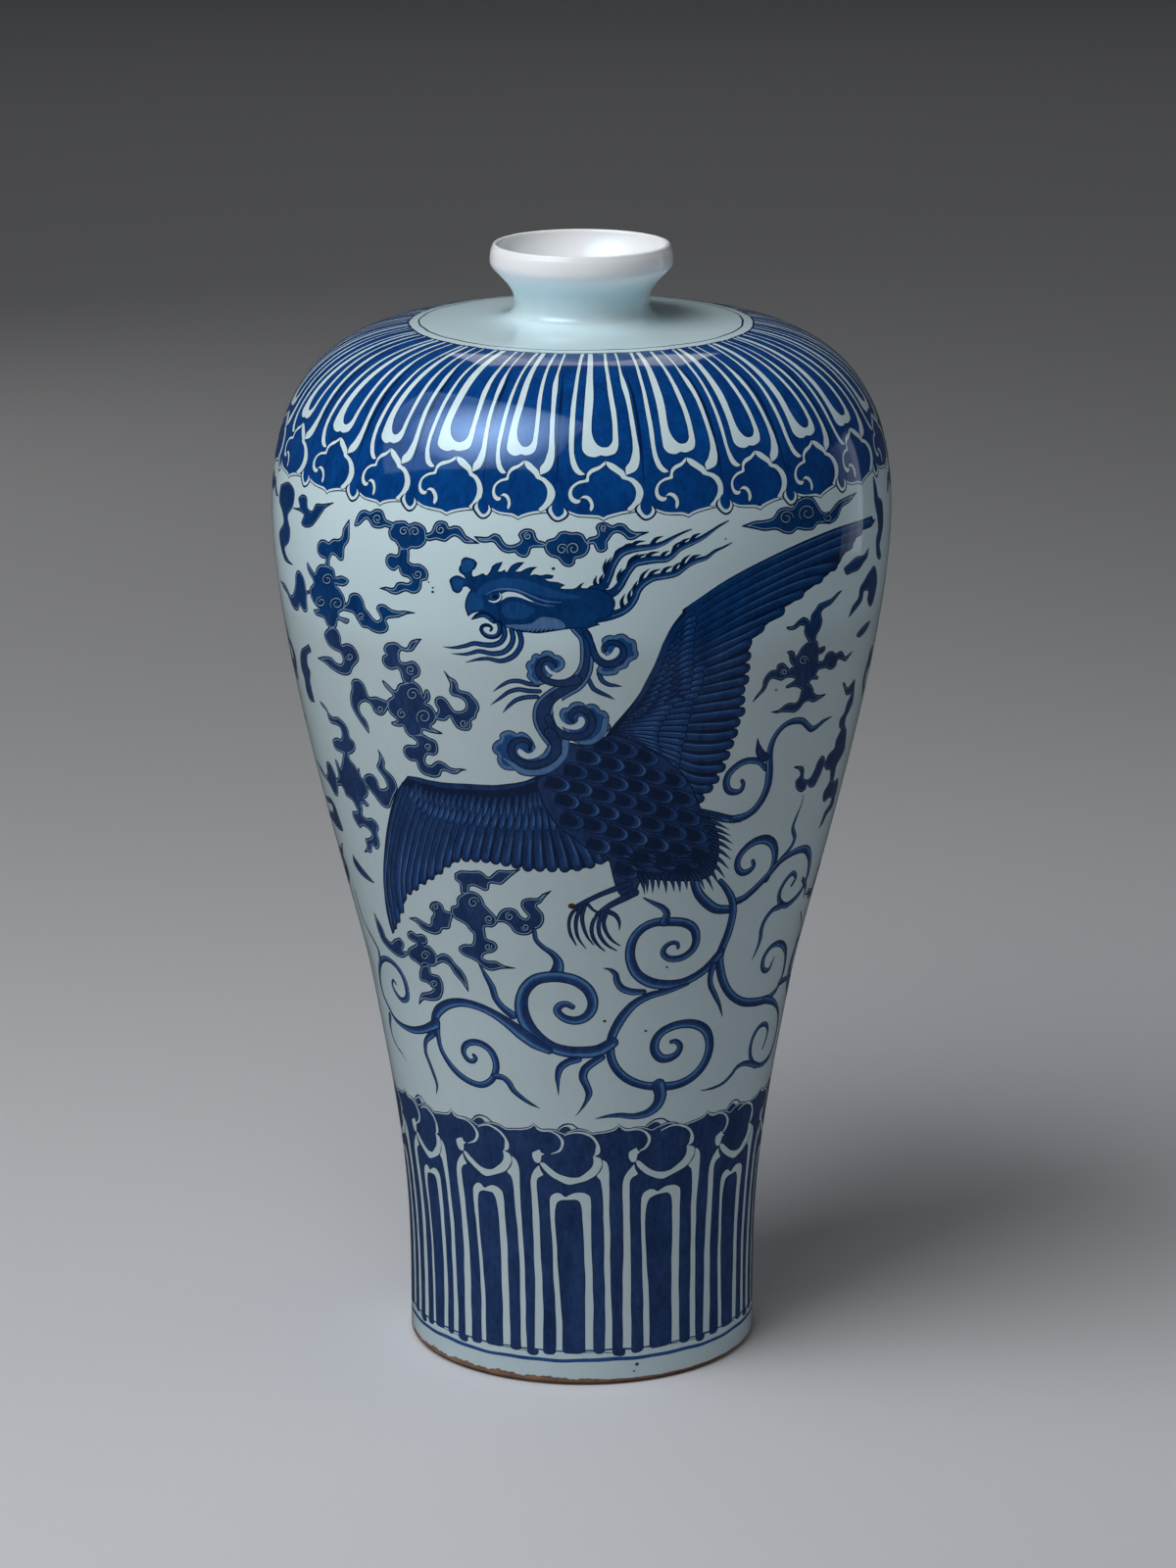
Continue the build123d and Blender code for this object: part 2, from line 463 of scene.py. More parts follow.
# Foot band: tall petals, heads up
base = {
    "hem": [544,1146.5, 544,1146.5, 548,1150.4, 553,1152.6, 560,1152.6, 567,1154, 571,1156, 575,1158,
        580,1156, 590,1154, 598,1155.6, 605,1159, 612,1158, 620,1157, 628,1154.6, 632,1150.5],
    "hook": [547,1151.5, 552,1153.8, 560,1154, 565,1155.6, 570,1159.4, 573.4,1165, 573,1170, 570,1174.6,
        562.5,1177.8],
    "bud": [566,1156, 568,1153, 572,1148.6, 578,1146, 584,1146.6, 589,1150, 593,1154, 584,1159, 572,1160],
    "budLight": [568.5,1155, 571.5,1151, 578,1147.6, 583.6,1148, 588,1151, 591,1154, 583,1157.5,
        573,1158.5],
    "budCore": [570,1154.4, 573,1151, 578,1149.2, 581,1150.6, 583,1153.6, 580,1157, 574,1158.5],
    "head": [575,1158.6, 580,1156.4, 590,1154.8, 598,1156.2, 605.4,1160, 610.6,1166, 612.8,1173, 611,1178,
        606.4,1179.4, 606.4,1179.4, 613,1182, 614.4,1187, 613,1192, 608,1199, 600,1203.5, 590,1207,
        580,1208.6, 570,1204.6, 561,1199, 554,1192, 551,1186, 551,1186, 555,1186.4, 562,1192.4, 570,1198,
        580,1201.4, 590,1201.2, 598,1196.4, 604,1191, 606,1185, 605.4,1180, 605.4,1180, 607.5,1177,
        608.2,1172, 608.6,1168, 604,1161.8, 597.6,1158.4, 590,1156.4, 580,1157.8, 575.6,1159.4,
        575.6,1159.4],
    "knob": [543.5,1176, 547,1174, 551,1173, 552.6,1176, 556,1177.6, 553,1179, 552.4,1183, 551,1186.6,
        547,1186, 544.5,1183, 543.4,1179],
    "leftLine": [550.4,1189, 550.4,1189, 551.6,1194, 554.4,1199.4, 550,1201.6, 547.6,1205, 547.6,1215,
        549.6,1235, 551,1260, 553,1300, 554.2,1340, 554.4,1377, 554.4,1377, 546,1376, 546,1376, 546,1350,
        545.6,1300, 544.5,1260, 543.5,1240, 542,1220, 541.5,1204, 543.5,1197, 547,1192],
    "rightLine": [615,1183.4, 615,1183.4, 619,1186, 621.6,1192, 621.8,1210, 621.6,1240, 622.4,1260,
        623,1300, 624,1340, 625,1380, 625,1380, 617.6,1380, 617.6,1380, 617.4,1340, 617,1300, 616.4,1260,
        615.4,1240, 614.5,1215, 612.5,1204, 609,1200.4, 613,1195, 615,1190],
    "arch": [567.6,1378, 567,1340, 565,1300, 563,1260, 561.5,1245, 560.8,1230, 561.5,1222, 564,1219,
        569,1217.2, 573,1218.5, 575.5,1220.5, 578,1221.2, 581,1219.5, 586,1217.5, 592,1217, 598,1218.5,
        602,1222, 603,1230, 603,1245, 603.5,1260, 604.4,1300, 605.4,1340, 605.6,1380, 605.6,1380,
        567.6,1378, 567.6,1378],
    "tongue": [573.8,1378, 573,1340, 570,1300, 567,1260, 566,1240, 567,1231, 569,1226.5, 574,1224.5,
        582,1224, 589,1224.5, 592,1228, 594,1235, 595,1250, 595.6,1260, 597,1310, 597.6,1380, 597.6,1380,
        573.8,1378, 573.8,1378],
}
footLine = {"low": 12.7, "high": 14.4, "upperLow": 18.5, "upperHigh": 19.1, "bars": 19.0}
footInk, hemDrop, footRadius = 0.45, 0.15, 100
barRound, barEase, barCorner = 3, 0.8, 2  # how the bars' ends are rounded
barEnds = [(537.5, 546.0, 1374.0, 1379.4), (554.4, 567.5, 1375.0, 1382.4), (573.8, 597.5, 1376.0, 1381.4),
           (605.6, 617.5, 1377.0, 1382.0), (625.0, 638.0, 1377.0, 1384.0)]
hemsSeen = [(-66.4, -42.1), (-41.9, -14.2), (-14.0, 10.7), (10.9, 40.0), (40.2, 68.0)]
barsSeen = [(-64.1, -59.1, -51.8, -47.1), (-41.0, -35.3, -26.4, -20.1), (-14.6, -9.0, 1.6, 7.8),
            (14.4, 20.0, 31.2, 38.4), (45.1, 50.9, 60.6, 66.7)]
spread(hemsSeen, 2, 13)
hem = hemLine(base["hem"])
foot = riseAtHeight(footLine["bars"])
sector = np.vstack([hem, [[hem[-1, 0], foot], [hem[0, 0], foot]]])
fill("line", base["bud"])
fill("ground", base["budLight"])
fill("deep", base["budCore"])
lay("line", sector + (0, footInk / footRadius))
lay("deep", sector)
lay("ground", ribbon(hem - (0, hemDrop / footRadius), [0.6, 0.5, 0.4, 0.5, 0.5, 0.6, 0.6], lean=-0.5))
brush("ground", base["hook"], [0.4, 0.6, 0.8, 1.4, 1.2, 0.4])
spread(barsSeen, 2, 13)
for name in ("leftLine", "rightLine", "head", "knob", "arch"):
    reserve(base[name], 0.4)
fill("deep", base["tongue"], edge=0.5)
for left, right, top, end in barEnds:
    sideEnd, cornerEnd = end - barRound, end - barEase
    fill("deep", [left,top, left,sideEnd, left + barCorner,cornerEnd, (left + right) / 2,end,
                  right - barCorner,cornerEnd, right,sideEnd, right,top, right,top, left,top, left,top])
ring("deep", riseAtHeight(footLine["upperLow"]), riseAtHeight(footLine["upperHigh"]))
ring("mid", riseAtHeight(footLine["low"]), riseAtHeight(footLine["high"]))
print("foot band drawn", len(painted))

# The painted field between the bands, drawn at the front and again half a turn round
repeat["turns"] = [0.0, pi]

# Clouds: outlines of their lobes and arms, then the curls drawn on them as x, y and size
clouds = {
    "overHead": ([
        [484,547.5, 484,547.5, 491,548, 498,548, 504,544.5, 510,546.5, 513,551.5, 516.5,555.5, 522,556.5,
         528,554.5, 531.5,551.5, 529,546, 532,541.5, 539,539.5, 545,542, 547,548, 549.5,551.5, 555,553,
         558,556, 555,558.5, 548,558.5, 542,559.5, 540.5,564.5, 537,568.5, 532,568.5, 527,565.5,
         525.5,563.5, 519,564.5, 512,562, 507,557, 503.5,553, 496.5,553.5, 490,553],
        [555,557, 558,551.5, 566.5,548.5, 570.5,543.5, 577,542, 583,543.5, 589,543, 595,545.5, 598,550.5,
         601.5,555, 601.5,560.5, 598,566.5, 592,569.5, 587,570.5, 586.5,575, 581.5,578.5, 575.5,577,
         571.5,573, 569,570, 562,568, 557,563.5],
        [598,552, 601.5,548.5, 608,547, 610,543.5, 608,538.5, 610.5,534.5, 616.5,533, 622,535, 625,536.5,
         630.5,534, 638,535.5, 642,540, 648,543, 655,543, 662,543, 662,543, 653.5,546.5, 646.5,550.5,
         640.5,550.5, 636.5,546.5, 630.5,543.5, 625.5,545, 622,550, 619.5,553.5, 620,559.5, 615.5,563.5,
         610,563, 607,558.5, 605.5,555, 599,556],
    ], [(573.5, 560.5, 6), (585, 560, 7), (538.5, 547, 4), (616, 539, 3.5)]),
    "topLeft": ([
        [361.5,535.5, 361.5,535.5, 364.5,526.5, 367.5,522, 372.5,520.5, 378,522.5, 382,520, 386.5,519.5,
         390.5,521.5, 392.5,526.5, 394,530, 398,532, 402,534, 400,539, 392.5,537.5, 389,539, 384,539,
         379.5,537, 377,532.5, 374,529.5, 370.5,532, 367,535.5, 362.5,537],
        [399,537.5, 401.5,533, 407.5,531.5, 414,532, 417.5,535, 422.5,533, 429,534.5, 434,539, 435.5,545,
         435,552.5, 430.5,558, 424.5,560, 419.5,559.5, 417,561.5, 410,561.5, 406.5,558, 403,552.5,
         399,550.5, 396.5,545, 397,540],
        [433,545, 440,542.5, 442.5,536.5, 445.5,532.5, 451.5,531.5, 456.5,534, 458,538, 463,536.5,
         469,537.5, 472.5,541.5, 475.5,546.5, 481.5,550, 489,554.5, 489,554.5, 480,554.5, 474,554,
         469,549.5, 464,547, 459.5,549, 455,552.5, 450,552, 445,550.5, 437.5,552, 433,549],
        [406.5,559, 416.5,559, 417.5,569, 417,572.5, 421.5,575.5, 427.5,575.5, 434,579.5, 437,585.5,
         435.5,592, 430.5,593, 430,599, 426.5,604.5, 420,605.5, 414.5,603, 410,604.5, 405,606.5, 399,605.5,
         394,602.5, 387.5,600.5, 387.5,600.5, 394,599, 401.5,600, 405,595, 410,594, 416.5,595, 419,592.5,
         416.5,589.5, 410.5,587.5, 407.5,582.5, 407,579, 402.5,582.5, 397,580, 393.5,574, 395,567,
         399.5,565, 404.5,566.5, 406.5,564],
    ], [(412, 542, 5), (423, 542.5, 5.6), (449.5, 540.5, 5), (385, 529, 5), (426, 586, 5)]),
    "left": ([
        [356.5,530, 356.5,530, 356.5,540, 356,551.5, 351.5,559, 351,566.5, 350,571.5, 346,571.5,
         342.5,567.5, 339,566, 336.5,571, 336,579, 331,579, 332.5,571, 327.5,568.5, 324,563.5, 324,556,
         327.5,551, 332.5,551.5, 335,553.5, 340,550, 346,550, 349,546.5, 350,540],
        [329,576, 336,577.5, 341,581.5, 342.5,588.5, 348.5,587.5, 356,592.5, 352.5,597.5, 345,597.5,
         342,596, 346.5,601, 351,608.5, 352.5,616, 351,622.5, 346.5,625, 346,628.5, 356.5,632.5, 354,636.5,
         348.5,634, 345,632.5, 343.5,639, 338.5,642, 333.5,637.5, 331,631.5, 321.5,626.5, 320,622.5,
         325,621.5, 320,615, 316.5,606.5, 316.5,600, 320,594, 314,581.5, 313.5,574, 318.5,581.5, 321.5,585,
         322.5,581, 326,576.5],
        [318,601.5, 312.5,602.5, 311.5,596.5, 310,590, 306.5,583.5, 303.5,582.5, 301.5,587.5, 301.5,593.5,
         301,599, 299,606.5, 296.5,607.5, 293.5,601.5, 291,596.5, 286.5,592.5, 286.5,592.5, 289,599,
         293.5,606.5, 296,613.5, 300,621, 304,622.5, 306,617.5, 307.5,620, 310,624, 313.5,623.5,
         313.5,618.5, 313,611.5, 313.5,606.5, 318,604],
        [350,618.5, 355,613.5, 356.5,607.5, 361,605, 366.5,606.5, 371,613.5, 372.5,620, 376.5,625, 381,631,
         385,633.5, 388.5,631, 386,625, 384,621, 386.5,617, 393.5,617.5, 398.5,621.5, 405,623.5,
         413.5,623.5, 423.5,625.5, 423.5,625.5, 415,626.5, 406.5,630, 396.5,631, 394,633.5, 396.5,639,
         395,644, 389,646.5, 381.5,645, 375,641, 370,640, 365,633.5, 361,626.5, 356,624, 350,622.5],
        [340,639, 345,643.5, 347.5,650, 348.5,657.5, 353.5,656.5, 360,659, 365,666.5, 366,673.5,
         362.5,678.5, 360,681.5, 357.5,687.5, 351.5,689, 343.5,686, 336.5,681, 331,676, 324,671.5,
         324,671.5, 331.5,670, 338.5,671.5, 343.5,676.5, 348.5,677.5, 350,672.5, 347.5,666.5, 340,662.5,
         334,656.5, 331,648.5, 332.5,643.5, 336.5,640],
    ], [(334, 591.5, 6.3), (343.5, 616, 7), (327.5, 614, 5.5), (368.5, 628.5, 4), (356.5, 670, 4)]),
    "middleLeft": ([
        [430,652, 430,652, 425,658.5, 421,664, 415,665, 409,664, 407.5,668.5, 409,675, 415,676, 421,674.5,
         426.5,678.5, 429,685, 426.5,691, 422.5,692.5, 421,698, 413.5,698, 410,692.5, 408.5,686.5,
         406,682.5, 400,683.5, 394,681, 390,675, 391,669, 394,667.5, 391.5,663.5, 393.5,657.5, 398.5,655.5,
         405,656, 410,660, 415,661, 418.5,655, 423.5,652.5],
        [413.5,696, 421,695, 427.5,699, 431,705, 431.5,711.5, 434,704, 436.5,704, 439,710, 437.5,716,
         434,717.5, 438.5,719, 443.5,725, 446,731.5, 444,737.5, 440,741.5, 451.5,748.5, 445,748.5,
         436.5,746.5, 431.5,745, 431,750, 425,752.5, 418.5,752, 413.5,746.5, 411.5,741, 408.5,741.5,
         401.5,740, 399,737.5, 405,735, 398.5,728.5, 395,721.5, 396,713.5, 401,710, 392.5,700, 390,694,
         396.5,699, 401.5,704, 404,704, 406.5,698.5],
        [397,720, 394,726.5, 390,730, 385,729, 381,725, 379,720, 375,716.5, 370,716.5, 366.5,721.5,
         368.5,728.5, 373.5,735, 376,741.5, 376.5,748.5, 376.5,748.5, 370,740, 363.5,730, 358.5,720,
         357.5,710, 359,701.5, 358.5,696.5, 361,693, 366.5,693.5, 371.5,698.5, 374,705, 376.5,711,
         383.5,711, 390,713.5, 397,716.5],
        [444.5,729.5, 447,724.5, 444.5,719.5, 443.5,714.5, 446.5,711, 451.5,711, 456,714.5, 459.5,719.5,
         463.5,725, 469,726, 474,724, 475.5,719.5, 473.5,715, 468,711.5, 461,709.5, 458.5,705, 459.5,698.5,
         456.5,691.5, 453,684.5, 453,684.5, 459,691, 464.5,694, 467,698.5, 468,703.5, 473.5,705.5, 479,707,
         483,711.5, 487,716, 489,723, 486.5,728.5, 485.5,733, 481,735.5, 481.5,740.5, 479,745, 473.5,745.5,
         466.5,743, 462,737, 459,731.5, 455.5,735, 451,735.5, 444.5,733.5],
        [419,749, 431,749, 438,753, 444.5,756, 447,763, 446,769, 442,771, 436.5,770, 434,775, 435,779.5,
         440,781, 443.5,778, 448,776.5, 454,779, 459,783, 464.5,784.5, 470,784.5, 476,785.5, 476,785.5,
         471,786.5, 466.5,789.5, 461,789.5, 455.5,787, 451,787, 449.5,791.5, 444.5,793.5, 435.5,791.5,
         430,788.5, 426.5,783, 424.5,777, 420,776.5, 414.5,773, 411.5,766, 413,761.5, 417,760, 422,760.5,
         425.5,759.5, 424.5,756, 420.5,753],
    ], [(421, 708.5, 7), (432.5, 731.5, 8), (410, 728.5, 5), (419, 683.5, 5), (387.5, 723.5, 4),
        (473, 738, 4.5), (436, 762, 4)]),
    "lowLeft": ([
        [326.5,715.5, 326.5,715.5, 332.5,721.5, 335.5,727.5, 339.5,731.5, 345,732, 351.5,738, 355,744,
         357,752.5, 361.5,757.5, 362.5,764, 360,768, 355,770, 347.5,767.5, 342,764, 339.5,757.5, 340.5,754,
         345,753, 347.5,754.5, 349,749, 347,742.5, 343,739.5, 337.5,737.5, 335,732.5, 333,725.5, 328,719.5],
        [351.5,765, 355,767.5, 357,774.5, 362.5,781.5, 365,786.5, 366,783, 368,791.5, 372,797.5, 375.5,805,
         375,812.5, 372,815.5, 376.5,821.5, 373,822.5, 370,819.5, 368,826, 364.5,826, 360.5,818, 357,814.5,
         353,811.5, 350.5,805, 348,801.5, 344.5,801.5, 343,796.5, 345.5,791.5, 342,775, 344.5,777.5,
         347,784, 349,777.5],
        [334,777, 337,779, 340,785, 343,792.5, 344.5,800, 345,810, 344,812.5, 340.5,809, 337.5,802.5,
         334,796.5, 329,789, 322.5,774.5, 322.5,774.5, 327.5,782.5, 332.5,791.5, 334,787.5, 333,780],
        [372,791.5, 376.5,789.5, 381.5,791.5, 385,796.5, 387.5,804, 392,805, 395,802.5, 392.5,795,
         387.5,787.5, 384.5,782.5, 386.5,776.5, 387,770, 385.5,764.5, 385.5,764.5, 390,771.5, 392.5,777.5,
         392.5,784, 397.5,789, 402.5,795, 405.5,805, 402.5,811.5, 400,817.5, 397.5,824, 392.5,824, 387,819,
         382.5,812.5, 377.5,806.5, 374,801.5, 371,796.5],
        [364,822, 369.5,823, 370,831.5, 374,835, 379,835, 384,839, 386.5,845, 385,850, 387,857.5, 387,864,
         384,866.5, 380,862.5, 379,870, 375,869, 372,869.5, 374.5,864, 373,856.5, 377.5,855, 379.5,851.5,
         376.5,846.5, 370,842.5, 367.5,845, 364,840.5, 360,832.5, 360,828, 364.5,828],
    ], []),
    "underWing": ([
        [464,891.5, 470,888.5, 480,889, 490,889, 498.5,895, 503.5,891.5, 508.5,888, 518,888.5, 531,887,
         531,887, 523.5,892.5, 516.5,898.5, 511.5,902.5, 500,901.5, 498.5,907.5, 495,909, 488.5,906,
         483.5,904, 479,905, 478.5,912, 471,912, 469,901.5, 464.5,897.5],
        [476,910, 483.5,910, 491,915, 495,923.5, 500,929, 506.5,936.5, 507.5,941.5, 502.5,946, 495,946,
         494,951.5, 482,951.5, 475,943.5, 471,941, 463.5,936.5, 460,930, 461,925, 466,923.5, 466.5,916.5],
        [462,931, 453.5,928.5, 451.5,923.5, 446.5,920, 440,921.5, 438.5,926.5, 442.5,931.5, 440,936.5,
         439,943.5, 433.5,941.5, 425,936.5, 417.5,937, 417.5,937, 425,941.5, 431.5,948.5, 443.5,953.5,
         450,951.5, 451,948.5, 458.5,947.5, 460,941.5, 462,935],
        [506,937.5, 511.5,929, 518.5,926.5, 526.5,928.5, 531.5,935, 536.5,937.5, 539,935, 535,930,
         531.5,923.5, 533.5,918.5, 540,916.5, 548.5,916.5, 553.5,912.5, 562.5,909, 562.5,909, 556.5,915,
         551.5,921.5, 547.5,924, 553.5,931.5, 555,938.5, 551.5,946, 545,949, 540,953.5, 531.5,954,
         525,951.5, 520,945, 513.5,941, 506,941],
        [481.5,948.5, 483.5,955, 481.5,963.5, 475,963.5, 469,966, 468.5,970, 473.5,975, 481.5,978.5,
         486.5,981.5, 493.5,987.5, 501.5,990.5, 511.5,988.5, 526,988, 526,988, 513.5,985, 506.5,981,
         496.5,980, 492.5,977.5, 495,973.5, 503.5,971.5, 507.5,966.5, 505,961.5, 496.5,957.5, 494,948.5],
    ], [(483, 921, 6), (444, 925.5, 4), (520, 935, 4.5), (499, 938, 4.5), (536, 946, 4), (498, 966, 4)]),
    "lowestLeft": ([
        [416,951.5, 420,950, 425,953.5, 430,953, 435,956.5, 436,962.5, 431.5,964, 437.5,965, 442.5,970,
         446,976.5, 445,985, 438.5,986, 433.5,983.5, 430,986, 425,982, 418.5,977.5, 416,970, 420,966,
         425,962.5, 420,960, 416,956],
        [381.5,931, 381.5,931, 386.5,940, 391,948.5, 394,956.5, 399,961.5, 402.5,958.5, 408.5,957.5,
         412.5,963.5, 411,970, 418,971.5, 412,977, 406.5,976, 400,971.5, 395,966.5, 390,960, 386,950],
        [444,977, 452,973, 459,976, 465,984, 471,990, 476,999, 478,1012, 478,1012, 471,1002, 464,994,
         458,985, 452,982, 445,984],
        [430,985, 438,985, 440,993, 448,996, 452,1004, 452,1013, 448,1020, 438,1021, 433,1020, 427.5,1025,
         427.5,1025, 430,1014, 438,1012, 442,1009, 436,1003, 429,1000, 428,993],
    ], [(434, 975, 5), (443, 1004, 4)]),
    "right": ([
        [859,602.5, 859,602.5, 853,610.5, 847.5,617, 841.5,620.5, 838,625, 839,634, 837,641.5, 833,649,
         832,657, 826.5,656, 822,649, 820.5,644, 821.5,639.5, 817,638, 811.5,642, 805,642.5, 802.5,640,
         809,639, 814,634, 819.5,630, 824.5,632, 826.5,635, 828,627.5, 832,622, 835,617, 841.5,614,
         849,610.5, 854.5,605],
        [827.5,654, 834,654.5, 835.5,661.5, 838,660.5, 842,660, 841.5,664, 838,667, 835.5,667.5, 835,672.5,
         835.5,682.5, 832.5,689, 835,690.5, 834.5,693, 830,693, 827.5,694, 824.5,699, 820,704, 815,701.5,
         810,700.5, 802.5,702, 802,700.5, 807,697, 811.5,693, 806.5,690, 804.5,685, 807,681.5, 810,680,
         807.5,677.5, 805.5,672.5, 805,667.5, 803,665.5, 807,664, 810.5,665.5, 811.5,670, 814,667.5,
         817.5,661.5, 822.5,656.5],
        [810,687.5, 804,681.5, 799,676.5, 793,679, 792.5,683, 787,684.5, 782,689, 779,695, 778,701.5,
         772.5,709, 768,716.5, 768,716.5, 774.5,710, 780.5,704, 784,696.5, 787,692.5, 792.5,693,
         797.5,694.5, 802.5,691.5, 810,690.5],
        [833,675, 840,674, 843,667.5, 849,664.5, 853,667, 857.5,664.5, 860.5,666.5, 862,670, 866.5,667.5,
         870,664.5, 870,664.5, 867,669.5, 862.5,674.5, 859,673, 855,673, 852.5,680, 847.5,683, 842.5,681.5,
         837.5,682.5, 833,684],
        [819,700, 825,697, 829.5,702.5, 830.5,707, 835,709.5, 842.5,708.5, 837.5,712.5, 830,716.5, 825,715,
         820,717.5, 816.5,722.5, 811.5,726.5, 804,726.5, 797.5,726.5, 792.5,727.5, 787,726.5, 787,726.5,
         794.5,724.5, 800,720, 805,717.5, 811.5,717.5, 815,714, 816.5,709, 817.5,705],
    ], [(820, 674, 5), (800, 686, 3.5)]),
    "rightEdge": ([
        [891,486, 894,495, 896,506.5, 900,511.5, 901,520, 901,536.5, 899,548.5, 897.5,556.5, 899,566.5,
         898.5,570, 895,568.5, 894,560, 894,550, 896,540, 895,526.5, 892.5,513.5, 891.5,500],
        [861,580, 866.5,575, 873.5,568.5, 881.5,566.5, 886.5,559, 886.5,559, 885,568.5, 881.5,573.5,
         876.5,581, 870,584, 863.5,586],
        [885,586.5, 891.5,577.5, 894,581.5, 895,593.5, 893.5,603.5, 890,616.5, 887.5,618.5, 885,611.5,
         886,603.5, 881.5,603.5, 880,611.5, 873.5,621.5, 866,630, 866,630, 870,618.5, 876,610, 877.5,600,
         882.5,591.5],
        [888,634, 884,643, 877,650, 874,648, 879,641, 884,636],
        [872,693, 871.5,705.5, 870,717, 867,724.5, 863,733, 861.5,742, 856.5,742, 857,734.5, 861.5,727,
         864.5,717, 868.5,708.5, 863.5,709, 861.5,703, 860,697, 862,697, 864.5,702, 868.5,698],
        [860.5,740, 863.5,744.5, 863,755.5, 861.5,765.5, 857,774.5, 853.5,781.5, 851.5,791.5, 849.5,800,
         847,797, 847,785.5, 843,785.5, 840.5,781.5, 838,788.5, 834.5,795.5, 831.5,801.5, 826.5,803.5,
         823.5,800, 822,805, 818,808, 813,805, 812,797, 816.5,791.5, 815.5,785.5, 810,783, 818,782,
         820.5,785.5, 820,794.5, 825.5,795, 830.5,787, 834.5,777, 838.5,771.5, 841.5,773, 842,777,
         845.5,770, 851.5,763, 853,755.5, 857,747, 859.5,741.5],
        [847,796, 851.5,797, 855,794.5, 854.5,803, 852,813, 850,821.5, 843.5,831.5, 839.5,840, 835.5,845.5,
         835.5,845.5, 838,838.5, 841.5,828.5, 847,820, 848.5,814.5, 845,814.5, 841.5,818, 839.5,815.5,
         840.5,808.5, 844.5,801.5],
    ], []),
    "leftEdge": ([
        [286.5,495, 295,492.5, 300.5,502, 299,516, 293.5,527, 296,541, 295,552, 290.5,560, 293.5,570,
         299,576.5, 299,576.5, 290.5,571, 286.5,557.5, 285,545, 289.5,532.5, 288,521.5, 285,510.5],
        [299,518.5, 306,517.5, 304.5,509, 308.5,505, 313,507.5, 314,518.5, 318.5,521.5, 322.5,514.5,
         329.5,514.5, 340.5,513, 340.5,513, 332,518.5, 325,528.5, 318.5,536.5, 311.5,538, 307.5,534,
         310,525.5, 306,521.5],
        [315,657.5, 315,657.5, 317.5,664, 313.5,668.5, 314,678.5, 316.5,685, 316.5,695, 318.5,705,
         321,716.5, 321,716.5, 316,713.5, 312.5,703.5, 311,693.5, 307.5,681.5, 306.5,671.5, 307.5,663.5,
         311.5,660],
        [332.5,813, 337.5,815, 341.5,821.5, 344.5,830, 347.5,839, 350,847, 346.5,846.5, 341.5,840,
         337.5,832.5, 336.5,827.5, 340,828, 339,821.5, 334.5,817.5],
        [360,872, 366,881, 373,890, 382,901, 382,901, 374,897, 366,889, 361,880],
    ], []),
    "boat": ([
        [757,537, 757,537, 770,532, 780,531, 789,528, 794,520.5, 802,517.5, 809,518, 813,511, 822,506.5,
         830,508.5, 835,516, 839,522, 845,523.5, 850,518, 855,512, 862,508, 874,502.5, 874,502.5, 867,512,
         859,518, 855,528, 848,534, 840,534, 834,535, 830,540, 820,541, 814,540, 808,544.5, 800,544,
         792,540.5, 780,541.5, 768,539],
    ], [(802.5, 528.5, 7.5), (824, 523.5, 9), (845, 528, 5)]),
}


cloudRim = {"ink": -0.25, "light": 0.6, "core": 1.05, "slimCore": 0.75}
slimClouds = ("right", "rightEdge", "leftEdge")


def drawCloud(name):
    outlines, curls = clouds[name]
    shapes = [smooth(onVase(flat), closed=True) for flat in outlines]
    core = cloudRim["slimCore" if name in slimClouds else "core"]
    for tone, depth in (("line", cloudRim["ink"]), ("thin", cloudRim["light"]), ("deep", core)):
        for shape in shapes:
            lay(tone, inset(shape, depth))
    for k, (x, y, r) in enumerate(curls):
        spiral(x, y, r, 2.4 * k, 1 if k % 2 else -1)


for name in clouds:
    drawCloud(name)
# some of the same clouds again on the two sides
sideClouds = {"topLeft": 123.0, "middleLeft": 125.0, "underWing": 115.0}
for name, turn in sideClouds.items():
    repeat["turns"] = [radians(turn), radians(turn - 180)]
    drawCloud(name)
repeat["turns"] = [0.0, pi]
print("clouds drawn", len(painted))


# Curling stems: ink both sides, wash between, a light streak along one side
stem = {"ink": 0.6, "streak": 0.22, "streaked": 3.2}


def vine(flat, widths):
    path = smooth(onVase(flat))
    widths = inMm(widths)
    lay("line", ribbon(path, widths))
    lay("mid", ribbon(path, widths, stem["ink"]))
    wide = np.interp(along(path), np.linspace(0, 1, len(widths)), widths)
    shift = sideways(path) * (wide * stem["streak"] / radiusAt(path[:, 1]))[:, None]
    if max(widths) > stem["streaked"]:
        lay("deep", ribbon(path - shift, [max(w * 0.5 - 0.9, 0.02) for w in widths]))
        lay("pale", ribbon(path + shift, [max(w * 0.28 - 0.45, 0.02) for w in widths]))


